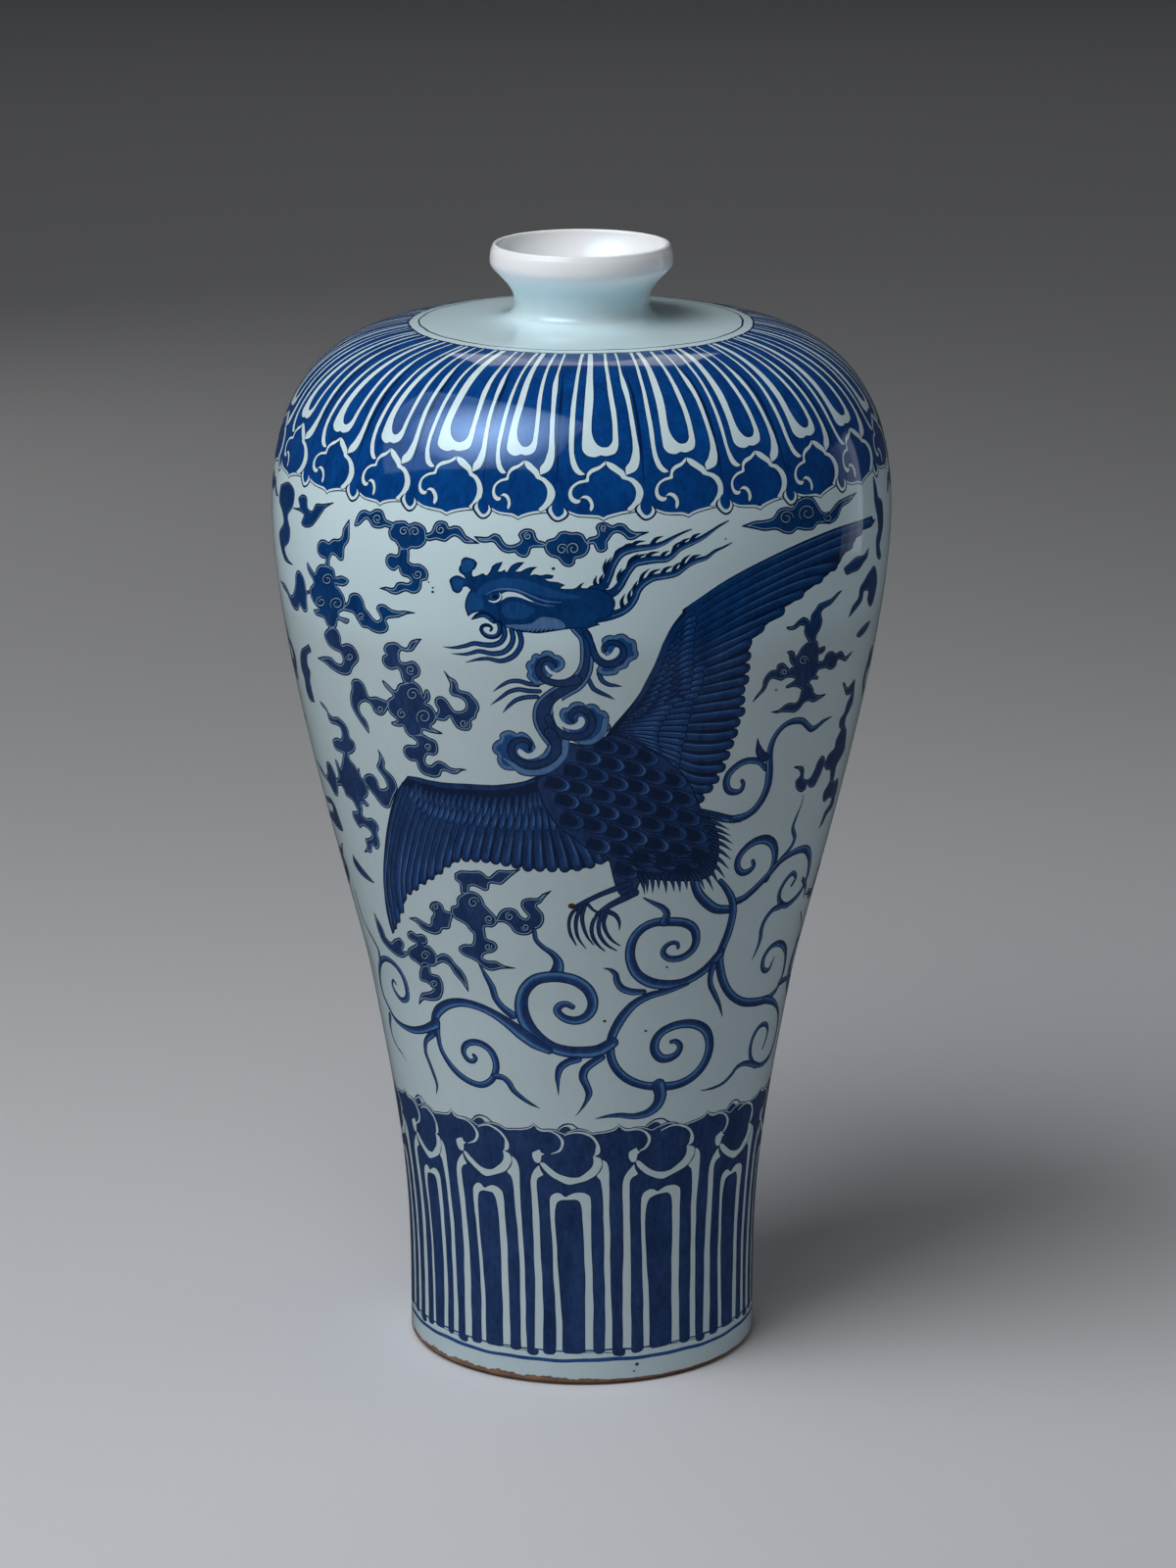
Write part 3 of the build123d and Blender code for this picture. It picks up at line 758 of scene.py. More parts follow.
vines = [
    ([708.5,900, 713,912, 722,922, 731,927.5, 744,928], [10, 11, 11.5, 11, 10]),
    ([756,835, 748,836, 735,834, 720,829, 708,825], [9, 9, 10, 7, 3]),
    ([781,785, 776,778, 770,776, 760,777, 750,783, 743,791, 741,799, 743,806, 749,808.5, 756,806.5,
      758.5,800, 757,796.5], [5, 7, 7.5, 8, 8.5, 8.5, 8, 6.5, 4.5]),
    ([748,836, 760,833, 770,826, 778,815, 783,803, 785,790, 785,775, 786,765, 789.5,754, 795.5,745,
      803,738.5, 812,735.5, 819,736, 824,740.5, 828.5,744, 834,741, 840,736, 849,731],
     [9, 9, 10, 10.5, 10, 8, 7, 7.5, 7.5, 6, 1]),
    ([820,810, 818,820, 812,835, 809,845, 811,855, 808,863, 803,870, 797,877], [1, 2, 4.5, 6, 6, 6, 7]),
    ([782,897, 789,883, 791,870, 788.5,861, 781,856.5, 771,858.5, 760.5,866, 753.5,876, 752.5,885,
      757,890.5, 764,889, 769,883.5, 768,878.5], [9, 9, 10, 11, 11, 10, 9, 8.5, 8, 7.5, 5]),
    ([748,921, 758,917, 768,909, 778,899, 788,888, 796,879, 806,872, 816,867, 823,867, 826,874, 826,882,
      824,893, 819,906, 811,917, 801,924, 795,918, 796,909, 802,898, 809,891, 812,896, 808,903],
     [9, 9, 9, 8.5, 8, 9, 10, 9, 8, 7.5, 7.5, 7, 7, 6, 5]),
    ([797,924, 788,929, 781,938, 777,948, 776,957, 773,967, 767,980], [9, 7, 6.5, 6.5, 6, 4, 1]),
    ([817,930, 817,945, 813,958, 810,970], [2, 3, 2]),
    ([819,897, 822,905, 820,915], [6, 7, 3]),
    ([735,899, 742,908, 747,918, 748,930, 746,942, 742,955, 737,967, 734,978, 735.5,992, 739,1004, 746,1015,
      757,1022, 770,1022.5, 784,1019], [6, 9, 10.5, 11, 11, 11, 10, 9.5, 10, 10, 10]),
    ([735,972, 722,987, 710,996, 695,1003, 678,1005, 662,1002, 650,994, 644,982, 643,970, 647,957, 656,947,
      668,941.5, 683,940.5, 698,941.5, 707.5,947, 710.5,957, 708,967, 700,975, 690,978.5, 681,977.5,
      676.5,972, 679.5,965.5, 686,962, 691.5,963, 692,967],
     [11, 11, 10, 10.5, 11.5, 12, 11.5, 11, 10.5, 10, 10, 10.5, 10.5, 10, 9.5, 8.5, 7, 6, 4]),
    ([678,941, 680.5,932, 676,926, 668,922, 660,918, 656.5,916], [11, 8, 6.5, 5.5, 4, 1.5]),
    ([702,1004, 682,1011, 663,1016, 648,1024, 638,1034, 630,1046, 624.5,1058, 622.5,1070, 624.5,1082,
      630,1092, 640,1101, 655,1107, 672,1108.5, 690,1107, 705,1100, 716,1089, 722.5,1076, 724,1063,
      720.5,1052, 712,1046, 700,1044.5, 686,1047.5, 674.5,1054, 668.5,1063, 668.5,1073, 674,1079.5,
      682,1080, 691,1075, 694,1067.5, 689.5,1062.5, 685,1063],
     [4, 7, 9, 10, 11, 10, 9.5, 9.5, 9.5, 9, 10, 10, 10.5, 11.5, 11.5, 11, 10.5, 10, 10, 10.5, 10, 8, 5]),
    ([657,1012, 644,1012, 634,1008, 629.5,1001, 628,994, 622.5,989.5, 616,988], [6, 8, 8, 7.5, 7, 5, 1]),
    ([672,1107, 674,1117, 671,1127, 662,1135, 648,1139, 632,1138, 620,1139, 608,1141.5],
     [15, 14, 12, 9, 7, 6, 4, 1]),
    ([728,985, 725,995, 725,1005, 729.5,1015, 734,1025, 737,1037], [9, 7, 6.5, 6, 4, 1]),
    ([784,1019, 793,1008, 798,996, 801,982, 801.5,970, 798,963.5, 792,963, 785,968, 779.5,977, 778,986,
      780.5,990.5, 785,988.5, 788,981, 790,976.5], [9, 7, 6.5, 6.5, 7, 8, 8, 7, 7, 7, 6, 2]),
    ([795,1003, 801,999, 808,995], [8, 6, 3]),
    ([780,1020, 790,1023, 794,1033, 793,1048, 790,1062, 786,1075, 779,1085, 771,1086.5, 766,1080,
      765.5,1070, 768.5,1058, 774.5,1048, 781,1045, 783.5,1051, 781.5,1060, 778,1070],
     [9, 8, 6, 5, 5.5, 7, 7, 6, 6, 6, 6, 6, 5, 3]),
    ([772,1087, 760,1085, 752,1089, 746,1097, 738,1105, 728,1110, 715,1113], [8, 7, 6, 5, 4, 3, 1]),
    ([545,949, 547,959, 554,966.5, 564,973.5, 569.5,981.5, 569,990, 566,996], [5, 5.5, 6, 8, 12, 15]),
    ([625,1064, 611,1072, 595,1074, 578,1073, 562,1068, 548,1058, 538,1046, 532.5,1032, 532.5,1018,
      537,1008, 546,1000, 558,997, 572,997, 588,1001, 600,1010, 605,1022, 603,1032, 596,1039, 586,1041.5,
      575,1038.5, 568.5,1031.5, 571.5,1026, 578,1024.5, 584,1027.5],
     [13, 14, 14, 13.5, 13, 13.5, 15, 16, 15, 13, 13, 13, 13, 13, 12.5, 11.5, 11, 10, 9, 8.5, 6.5]),
    ([560,1072, 545,1064, 530,1053, 517,1043, 503,1034, 488,1027, 472,1023, 458,1024.5, 447,1032,
      443.5,1042, 444,1054], [9, 14, 15, 12, 10, 9.5, 10, 11, 12, 11, 9]),
    ([446,1042, 447,1056, 450,1070, 457,1083, 467,1095, 480,1104, 491.5,1107, 501.5,1102, 506,1092,
      505.5,1082, 500,1071.5, 491,1065, 481.5,1063.5, 474.5,1067, 473,1074, 477,1081, 482.5,1083,
      485.5,1079.5, 483.5,1077], [9, 7, 6.5, 7, 8, 8, 7.5, 7.5, 7.5, 8, 8.5, 8, 7.5, 7, 6, 5]),
    ([505,1098, 513,1099.5, 519,1104.5, 523.5,1112, 531,1119, 541,1126, 551,1131],
     [7, 7, 7, 6, 5, 3.5, 0.5]),
    ([445,1045, 434,1050, 421.5,1051, 410,1046, 402,1038, 397,1028, 391,1014, 388,1000, 387.5,986,
      391,978.5, 397,979.5, 404.5,986, 411,996, 415,1008, 415.5,1018, 410.5,1020.5, 404.5,1014, 400.5,1005,
      401.5,1000, 404,1004], [12, 10, 9, 8, 6.5, 5.5, 4.5, 5, 6, 6.5, 7, 7, 7.5, 8, 7.5, 6, 4.5, 3]),
    ([362,908, 366,923, 372,941, 380,957, 386,969, 388,980], [2, 3, 3, 4, 6]),
    ([374,960, 381,985, 386,1010], [1.5, 2, 1]),
    ([441,1055, 434.5,1063, 434.5,1074, 438.5,1085, 443,1097, 446,1107, 445.5,1116],
     [9, 6.5, 5.5, 5, 5, 4, 1]),
    ([398,1036, 398.5,1047, 401,1058, 405.5,1068, 411,1076, 415,1084], [8, 5.5, 3, 2.5, 2, 0.5]),
    ([489,984, 496,996, 502,1007, 505.5,1018, 512,1027, 523,1036], [2, 6, 8, 8, 8, 10]),
    ([590,1081, 579,1084, 571.5,1090, 569,1100, 569.5,1110, 570,1118], [8, 8.5, 8, 6, 3, 0.5]),
    ([614,1079, 602.5,1086, 596.5,1092, 595,1100, 599,1109, 601,1116, 597,1126, 591.5,1134, 587,1139],
     [8, 9, 9.5, 9, 8, 7.5, 4, 2, 0.5]),
]
for flat, widths in vines:
    vine(flat, widths)
# one more scroll on each side, with a finer tip
sideScroll = {"like": 22, "turn": 91.0, "tip": [0.6, 6.0, 10.5]}
repeat["turns"] = [radians(sideScroll["turn"]), radians(sideScroll["turn"] - 180)]
flat, widths = vines[sideScroll["like"]]
vine(flat, sideScroll["tip"] + widths[len(sideScroll["tip"]):])
repeat["turns"] = [0.0, pi]
leaf = [773,752, 773,752, 776,760, 781,767, 786,771, 782,777, 774,774.5, 771,768, 771.5,760]
fill("deep", leaf, 0.6)
print("stems drawn", len(painted))

# The phoenix: wings, body, legs, neck and head
wings = {
    "left": [416,791.5, 416,791.5, 429,793.5, 439,796.5, 452,798.5, 467,799.5, 490,800.5, 505,801, 515,800,
        528,798.5, 536.5,796.5, 544,793.5, 565,785, 600,800, 625,850, 622,872, 618,880, 612,882, 607,881,
        602,879.5, 599,885, 594,886.5, 590,885, 584,887.5, 578,887.5, 573,885.5, 566,886.5, 560,885,
        554,887.5, 546,887, 540,886, 534,884.5, 529,885, 523,882, 518,880.5, 512,880, 500,879, 490,876.5,
        480,877, 474,877, 470,875, 467,876, 463,880.5, 456,884, 450,888, 446,893, 440,895, 437,898, 430,902,
        424,903.5, 423,907, 418,912, 413,912.5, 414.5,917.5, 411,925, 408,936, 404,947, 400.5,953.5,
        400.5,953.5, 397,942, 394,928, 392,910, 391,890, 392,870, 394,850, 397,833, 400,820, 406,805],
    "right": [600,790, 612,760, 624,742.5, 632,733, 640,724, 648,714, 655,703.5, 661,692, 668,679, 673,668,
        677,656, 682,645, 690,632.5, 700,621.5, 715,610, 730,600, 750,589, 770,578.5, 790,568, 810,558,
        830,549, 850,541.5, 870,535, 885,531, 893.5,529.5, 893.5,529.5, 890,536, 882,540, 875,546, 872,553,
        866,560, 860,568, 856.5,575, 850,580, 845,586.5, 837,592, 830,598.5, 822,604, 815,610.5, 806,617,
        800,620.5, 797,627, 788,632.5, 780,639.5, 770,645, 765,650.5, 760.5,652.5, 764.5,656, 766,660.5,
        763,665.5, 764.5,671, 761,677, 762.5,683.5, 760,689, 761.5,695, 757.5,700, 758,704, 755,709,
        758,714.5, 755,721, 758,726.5, 753,732, 752,737, 749,741, 750,748, 746,753, 746,759, 741,764.5,
        742,771, 738,776, 737,783, 732,789, 731,795.5, 725,799, 724,804.5, 718,810, 716,815.5, 711,820,
        705,824, 690,830, 640,850],
    "body": [548,795, 560,788, 570,780, 577,768, 580,758, 596,760, 612,755, 622,749, 640,753, 660,762,
        680,774, 698,790, 708,806, 714,822, 722,832, 729,840, 733,852, 734,870, 731,884, 726,893, 716,898,
        700,899.5, 680,899, 655,899, 648,914, 641,918, 632,913, 627,902, 623,886, 619,875, 600,868, 585,855,
        570,845, 558,828, 550,810],
}
leading = {
    "left": [417,794, 430,796.5, 450,801, 480,803, 505,804, 528,801.5, 546,796.5],
    "right": [641,729, 650,717, 657,706, 664,693, 671,680, 676,668, 680,657, 685,648, 693,637, 702,627,
        716,616],
}
# middle lines of the long feathers, root to tip
featherKeys = {
    "left": [
        [412,800, 402,830, 395,870, 393,905, 401,950], [418,803, 408,835, 401,870, 399,905, 403.5,943],
        [424,812, 414,840, 407,872, 405,900, 408,930],
        [432,820, 422,848, 415,878, 412,897, 413,913], [440,825, 431,850, 425,875, 421,893, 420,907],
        [449,828, 441,850, 435,872, 432,887, 431,899],
        [458,831, 451,850, 446,868, 443,880, 442,892], [468,833, 462,850, 458,864, 455,874, 454,883],
        [478,834, 473,848, 469,860, 467,868, 466,875],
        [490,836, 486,848, 483,860, 481,868, 480,875], [503,838, 500,848, 497,860, 495,870, 494,876],
        [516,839, 514,850, 511,862, 509,872, 508,878],
        [529,840, 527,852, 525,864, 524,874, 523,881], [541,840, 540,853, 539,866, 539,877, 539,885],
        [552,840, 553,853, 554,866, 555,877, 556,885],
        [563,840, 566,852, 569,864, 572,875, 574,886], [574,842, 580,853, 585,864, 589,874, 592,884],
        [586,846, 594,856, 601,866, 606,873, 610,880],
        [597,852, 605,860, 611,866, 616,871, 620,875]],
    "right": [
        [700,624, 745,594.5, 800,567, 850,545.5, 889,532], [700,632, 745,603, 797,577, 845,556, 878,541],
        [700,640, 742,614, 790,590, 835,569, 868,556],
        [698,648, 738,625, 783,602, 822,584, 852,577], [697,656, 735,635, 775,614, 810,598, 837,590],
        [696,664, 732,645, 768,626, 795,614, 817,606],
        [695,672, 728,656, 757,642, 780,632, 797,624], [694,680, 722,667, 747,656, 763,649, 776,641],
        [694,688, 718,677, 738,669, 753,661, 763,656],
        [694,696, 716,687, 736,680, 750,675, 762,670], [693,704, 715,696, 735,690, 750,685, 761,682],
        [692,712, 713,705, 733,700, 748,697, 760,694],
        [668,724, 706,715, 731,710, 746,707, 756,704.5], [660,731, 704,724, 729,720, 744,718, 756,715],
        [652,737, 702,733, 727,730, 743,728, 756,726.5],
        [646,743, 700,742, 723,741, 739,740, 751,737.5], [644,748, 698,751, 720,752, 736,751, 748.5,748.5],
        [646,752, 695,761, 716,763, 732,762, 744.5,759.5],
        [650,756, 693,770, 712,774, 728,773, 740.5,771], [656,761, 692,778, 709,784, 724,785, 736,783.5],
        [663,767, 690,786, 706,794, 719,796, 730,795.5],
        [670,773, 690,793, 702,802, 714,805, 723,804.5], [678,780, 690,799, 700,808, 709,813, 715,815.5],
        [686,788, 695,806, 700,814, 705,818, 709,821]],
}


def between(keys, at):
    i = min(int(at), len(keys) - 2)
    a, b = np.array(keys[i], float), np.array(keys[i + 1], float)
    return a + (b - a) * (at - i)


plume = {"tip": (2.4, 5.2), "root": (1.8, 4.2), "fat": 0.84}  # least and most widths in millimetres


def plumage(keys, step):
    last, fat = len(keys) - 1, plume["fat"]
    for at in np.arange(0, last + 1e-6, step):
        path = smooth(onVase(between(keys, at)))
        near = smooth(onVase(between(keys, at + step if at + step <= last else at - step)))
        gap = np.hypot(*(path[-4] - near[min(len(near) - 1, len(path) - 4)])) * radiusAt(path[-1, 1])
        root = np.hypot(*(path[0] - near[0])) * radiusAt(path[0, 1])
        tip = min(max(gap, plume["tip"][0]), plume["tip"][1])
        root = min(max(root, plume["root"][0]), plume["root"][1])
        lay("line", ribbon(path, [root, tip * 1.06, tip * 1.06]))
        lay("deep", ribbon(path[1:], [root - 0.7, tip * fat - 0.4, tip * fat - 0.5]))
        side = sideways(path) * (tip * 0.14 / radiusAt(path[:, 1]))[:, None]
        light = 0.55 + 0.35 * sin(5.3 * at) * sin(2.1 * at + 1)
        lay("mid", ribbon((path + side)[2:-1], [0.3, tip * 0.30 * light, tip * 0.42 * light, tip * 0.40]))
        lay("pale", ribbon((path + side * 1.7)[len(path) // 3:-2], [0.1, 0.36, 0.42, 0.2]))


def shortFeather(root, tip, width):
    path = smooth(onVase([*root, (root[0] + tip[0]) / 2, (root[1] + tip[1]) / 2, *tip]))
    lay("line", ribbon(path, [width * 0.7, width, width]))
    lay("deep", ribbon(path, [width * 0.4, width * 0.74, width * 0.76]))
    lay("mid", ribbon(path[1:], [0.2, width * 0.42, width * 0.56]))
    side = sideways(path) * (width * 0.2 / radiusAt(path[:, 1]))[:, None]
    lay("pale", ribbon((path + side)[len(path) // 3:-1], [0.1, 0.4, 0.5]))


def within(point, outline):
    flat = np.array(outline).reshape(-1, 2)
    x, y = (flat - point).T
    nx, ny = np.roll(x, -1), np.roll(y, -1)
    cross = ((y > 0) != (ny > 0)) & (x - y * (nx - x) / np.where(ny == y, 1e-9, ny - y) > 0)
    return cross.sum() % 2 == 1


for name in ("left", "right"):
    fill("line", wings[name])
plumage(featherKeys["left"], 0.72)
plumage(featherKeys["right"], 1.0)
# rows of short feathers between the leading edge and the long ones
shortRows = {
    "left": {"first": 1.2, "last": 18.0, "step": 0.62, "shares": (0.72, 0.38), "width": 3.3},
    "right": {"first": 0.5, "last": 22.6, "step": 0.8, "shares": (0.8, 0.5, 0.2), "width": 3.6},
}
mostRoom, edgeRoom = 70, 6  # pixels from the long feathers to the leading edge
for name, plan in shortRows.items():
    for share in plan["shares"]:
        for at in np.arange(plan["first"] + share * plan["step"], plan["last"], plan["step"]):
            key = between(featherKeys[name], at)
            start, way = key[:2], key[2:4] - key[:2]
            way = way / np.hypot(*way)
            room = 0.0
            while room < mostRoom and within(start - way * (room + edgeRoom), wings[name]):
                room += 1.0
            if room > edgeRoom:
                root = start - way * room * share
                shortFeather(root, root + way * (room * 0.34 + 7), plan["width"])
coverts = {"first": 8.4, "last": 22.5, "step": 0.75, "rows": ((0.30, 0.98, 4.0), (-0.12, 0.46, 3.4))}
for near, far, width in coverts["rows"]:
    for at in np.arange(coverts["first"], coverts["last"], coverts["step"]):
        key = between(featherKeys["right"], at)
        start, way = key[:2], key[2:4] - key[:2]
        shortFeather(start + way * near, start + way * far, width)
brush("deep", leading["left"], [1.2, 2.6, 2.8, 2.4, 1.0], edge=0.3)
brush("deep", leading["right"], [1.0, 2.8, 3.2, 2.8, 1.2], edge=0.3)
fill("line", wings["body"])
lay("deep", inset(smooth(onVase(wings["body"]), closed=True), 0.8))
print("wings drawn", len(painted))

# scales of the breast, each over the next towards the tail
scale = {
    "along": (22.0, 6.0), "across": (-4.5, 16.0), "first": (560.0, 762.0), "tilt": 0.27,
    "corners": ((-10, -3), (9, 3), (-2, 7), (2, -7)), "darkFrom": 735, "darkOver": 110,
    "edge": (-14,-6, -6,-8.6, 3,-8.2, 9,-4.8, 11.6,0, 9,4.8, 3,8.2, -6,8.6, -14,6),
    "tip": (1,-6.4, 6.6,-3.8, 8.6,0, 6.6,3.8, 1,6.4),
    "core": (-14,-4.5, -6,-6, 0.5,-4.6, 3.6,0, 0.5,4.6, -6,6, -14,4.5),
}


def scaleAt(x, y, light):
    def tilted(part):
        u, v = np.array(scale[part][::2]), np.array(scale[part][1::2])
        c, s = cos(scale["tilt"]), sin(scale["tilt"])
        return np.stack([x + u * c - v * s, y + u * s + v * c], 1).ravel()

    fill("deep", tilted("edge"), edge=0.5)
    tip = tilted("tip")
    brush("mid", tip, [0.3, 0.9, 1.2 + 1.3 * light, 0.9, 0.3])
    if light > 0.4:
        brush("pale", tip, [0.05, 0.25, 0.35 + 0.4 * light, 0.25, 0.05])
    fill("line", tilted("core"))


for row in range(9, -4, -1):
    for k in range(10, -4, -1):
        step = k + 0.5 * (row % 2)
        spot = np.array(scale["first"]) + np.multiply(scale["along"], step) + np.multiply(scale["across"],
                                                                                          row)
        x, y = spot + (1.6 * sin(5 * k + 3 * row), 1.2 * sin(3 * k + 5 * row))
        if all(within((x + dx, y + dy), wings["body"]) for dx, dy in scale["corners"]):
            fade = min(1, max(0.15, (scale["darkFrom"] - x) / scale["darkOver"]))
            scaleAt(x, y, (0.5 + 0.5 * sin(7 * k + 4 * row)) * fade)
# darker strokes towards the tail
tailStrokes = {"count": 26, "row": 9, "first": (640, 872), "step": (11, 9)}
for k in range(tailStrokes["count"]):
    x = tailStrokes["first"][0] + tailStrokes["step"][0] * (k % tailStrokes["row"]) + 3 * sin(3 * k)
    y = tailStrokes["first"][1] + tailStrokes["step"][1] * (k // tailStrokes["row"]) + 3 * sin(2 * k)
    if within((x + 10, y + 4), wings["body"]):
        brush("line", [x - 12,y - 4, x,y - 1, x + 11,y + 5], [0.2, 1.5, 0.2])
fringe = [
    [652,892, 658,913], [658,892, 660.5,911], [664,892, 666,912], [670,892, 672,908], [676,892, 680,912],
    [683,893, 688,910], [690,893, 694,911], [697,893, 701,908],
    [704,893, 708,910], [712,830, 740,838], [716,836, 744,846.5], [720,844, 746,853], [724,850, 748,861],
    [725,857, 747,868], [725,864, 746,877], [724,871, 744,887], [722,877, 740,896],
    [714,886, 728,909], [708,888, 719,908], [719,882, 734,903],
]
for x0, y0, x1, y1 in fringe:
    barb = [x0,y0, (x0 + x1) / 2 + 1,(y0 + y1) / 2 - 1, x1,y1]
    brush("line", barb, [2.8, 2.0, 0.2])
    brush("mid", barb, [0.2, 0.6, 0.1])
legs = [
    ([642,902, 625,908, 610,914, 598,920, 589,925], [7.5, 7, 6, 6, 6]),
    ([590,925, 583,933, 580.5,942, 582,953, 588,964.5], [4, 4, 3.5, 3.5, 1.5]),
    ([593,925, 588,938, 588,950, 591,959, 598,968], [5, 4.5, 3.5, 1]),
    ([597,924, 594,936, 596,948, 600,957, 605.5,964], [4, 4.5, 3.5, 1.5]),
    ([600,923, 606,929, 613,932], [4, 3, 3]),
    ([648,911, 636,917, 624,923, 615,929, 609,934], [9, 8.5, 7.5, 6.5, 5]),
    ([612,931, 605,941, 604,953, 609,963, 617,970.5], [4, 4.5, 4, 1.5]),
    ([616,931, 611,942, 612,954, 619,964, 629,970], [5, 4.5, 4, 1.5]),
    ([619,932, 616,942, 619,952, 625,960, 632.5,965], [4, 4.5, 3.5, 1.5]),
    ([620,930, 628,934, 632,941, 632,949], [6, 5, 3.5, 1]),
]
for flat, widths in legs:
    brush("line", flat, inMm(widths))
    brush("deep", flat, inMm(widths, 1.2, 0.05))

neck = {
    "stem": ([588,640, 597,650, 599,660, 599,672, 597,684, 590,695, 578,703, 565,711, 556,721, 554,733,
        558,745, 566,757, 570,768], [13, 14, 14, 14, 16, 18, 17, 18, 21, 21, 20, 18, 14]),
    "caps": [
        [546,700, 540.5,694.5, 537,690, 538.5,685, 538.5,685, 536,680, 538,675, 541.5,673.5, 541.5,673.5,
         543,668.5, 547.5,666.5, 551.5,668, 551.5,668, 553,665, 558.5,663.5, 564.5,665.5, 566,668, 566,668,
         570.5,668.5, 574.5,671.5, 577,677, 575,682.5, 570,686, 563,690, 556,698],
        [608,684.5, 611.5,688, 617,689.8, 624,689.5, 630,688, 632,684.5, 632,684.5, 636.5,683, 641,680.5,
         642,677, 642,677, 645,674.5, 649.5,672.5, 652,667.5, 650.5,663, 650.5,663, 650,657.5, 648,653,
         642.5,651, 642.5,651, 640,648.5, 635.5,646.3, 630,647, 627,648.5, 627,648.5, 621,647.8, 616,650,
         613.5,653, 614.5,657, 613,661, 614,666, 618,668.5, 612,676],
        [572,738, 570.5,731, 571,726, 574,722.5, 577.5,722, 580,721.5, 580,721.5, 581.5,718.5, 586,716,
         591,715.8, 595,717, 597.5,719.5, 597.5,719.5, 601,718, 606,718, 610.5,720.5, 613,724.5, 613,724.5,
         617,725, 620.5,728.5, 622,733, 620.5,736, 624,742, 616,750, 604,758, 590,759, 578,750],
        [547,763, 545,758, 541.5,752.5, 536.5,748, 531,746.5, 527.5,748.5, 527.5,748.5, 525.5,747,
         520.5,745, 514,746, 509.5,750, 510,754, 510,754, 506,756, 502.5,760, 502,765, 505,769.5, 507.5,771,
         507.5,771, 507,776, 510,782, 515,785.5, 521,786.5, 526,786.5, 526,786.5, 529,789.5, 536,792,
         545,792.5, 553,790.5, 562,786, 570,778, 575,769, 577,759, 566,752, 552,770]],
    "spirals": [
        ([588,694, 578,697, 566,697, 556,693.5, 550,686.5, 550,679, 554,673.5, 561,672.5, 566,676, 567,680],
         [12, 9, 8, 8, 8, 7, 6, 3]),
        ([598,646, 603.5,657, 606,666, 610,673, 618,677.5, 628,677, 635.5,671, 636.5,663, 631,657,
          623,655.5, 617.5,659, 617.5,664], [8, 6, 7, 8, 8.5, 8.5, 8, 7.5, 7, 7, 6, 4]),
        ([560,733, 565,743, 575,750, 588,752, 599,748.5, 604,741, 603.5,732, 598.5,726, 591,723.5,
          584.5,726.5, 581.5,732, 584.5,736], [10, 9, 9, 9, 9, 9, 8.5, 8, 8, 7, 4]),
        ([561,748, 567,757, 567,768, 560,776, 549,780.5, 537,780, 527,775.5, 521.5,768, 522.5,760, 529,755,
          537,755.5, 541.5,760, 540,765], [13, 12, 11, 10, 9.5, 9, 9, 8.5, 8, 8, 7, 6, 3])],
    "gaps": [
        [556,680, 557.5,679, 561,683, 565,686, 570,686.3, 575,683, 578,677, 580,666, 588,666, 591.5,668,
         590,676.5, 585,684, 576,689, 566,689, 559,686],
        [606.5,651, 611,655, 612,663, 615,668.5, 621,669, 625.5,664.5, 628,660.5, 631.5,661.5, 632,665.5,
         628.5,670.5, 621,673.5, 614,672, 609,667, 607,660],
        [564.5,722, 567,715, 573,713, 572,721, 570.5,729, 573,735.5, 579,739.3, 585,739.5, 589.5,736.5,
         591,731.5, 595,732, 597,736.5, 594.5,741.5, 588,744.5, 579,743.5, 571,739.5, 566,732.5],
        [544,750, 546.5,756, 547,762, 543.5,767.5, 538.5,769, 533.5,766, 529.5,764, 528,767.5, 531,771.5,
         537,774.3, 544,774, 550.5,771, 554.5,765.5, 555,758, 550.5,751, 546,744]],
    "barbs": [
        [549,699, 540,698, 530,695, 520,695.5, 511,700, 503,706],
        [550.5,705.5, 539,705, 529.5,703.5, 519.5,706, 509.5,713, 500.5,719.5],
        [548,711, 536.5,711.5, 526.5,714.5, 519.5,720, 513,727.5],
        [611,687, 614.5,694.5, 621,698.5, 628,699.5, 635,700.5],
        [601,694, 605.5,702.5, 614,707.5, 621,710.5, 627.5,714]],
    "bands": [([577,757, 575,770, 567,780, 556,786.5, 545,788.5, 533,787, 524,781, 514,774],
        [7, 7, 7, 7, 6, 6, 5, 2]), ([618,735, 616,745, 611,752, 603,757, 592,758], [6, 6, 6, 5, 3])],
}
for flat in neck["barbs"]:
    brush("line", flat, [2.4, 2.6, 2.4, 1.8, 0.3])
    brush("mid", flat, [1.0, 1.3, 1.0, 0.6, 0.1])
flat, stemWidths = neck["stem"]
path = smooth(onVase(flat))
lay("line", ribbon(path, inMm(stemWidths)))
lay("pale", ribbon(path, inMm(stemWidths), 0.65))
for flat in neck["caps"]:
    fill("pale", flat, 0.6)
    lay("mid", inset(smooth(onVase(flat), closed=True), 2.3))
for flat, widths in neck["bands"]:
    brush("pale", flat, inMm(widths), edge=0.35)
for flat in neck["gaps"]:
    fill("ground", flat)
lay("line", ribbon(path, inMm(stemWidths, 3.4, 0.2)))
lay("deep", ribbon(path, inMm(stemWidths, 4.6, 0.1)))
for flat, widths in neck["spirals"]:
    brush("line", flat, inMm(widths))
    brush("deep", flat, inMm(widths, 1.5, 0.05))

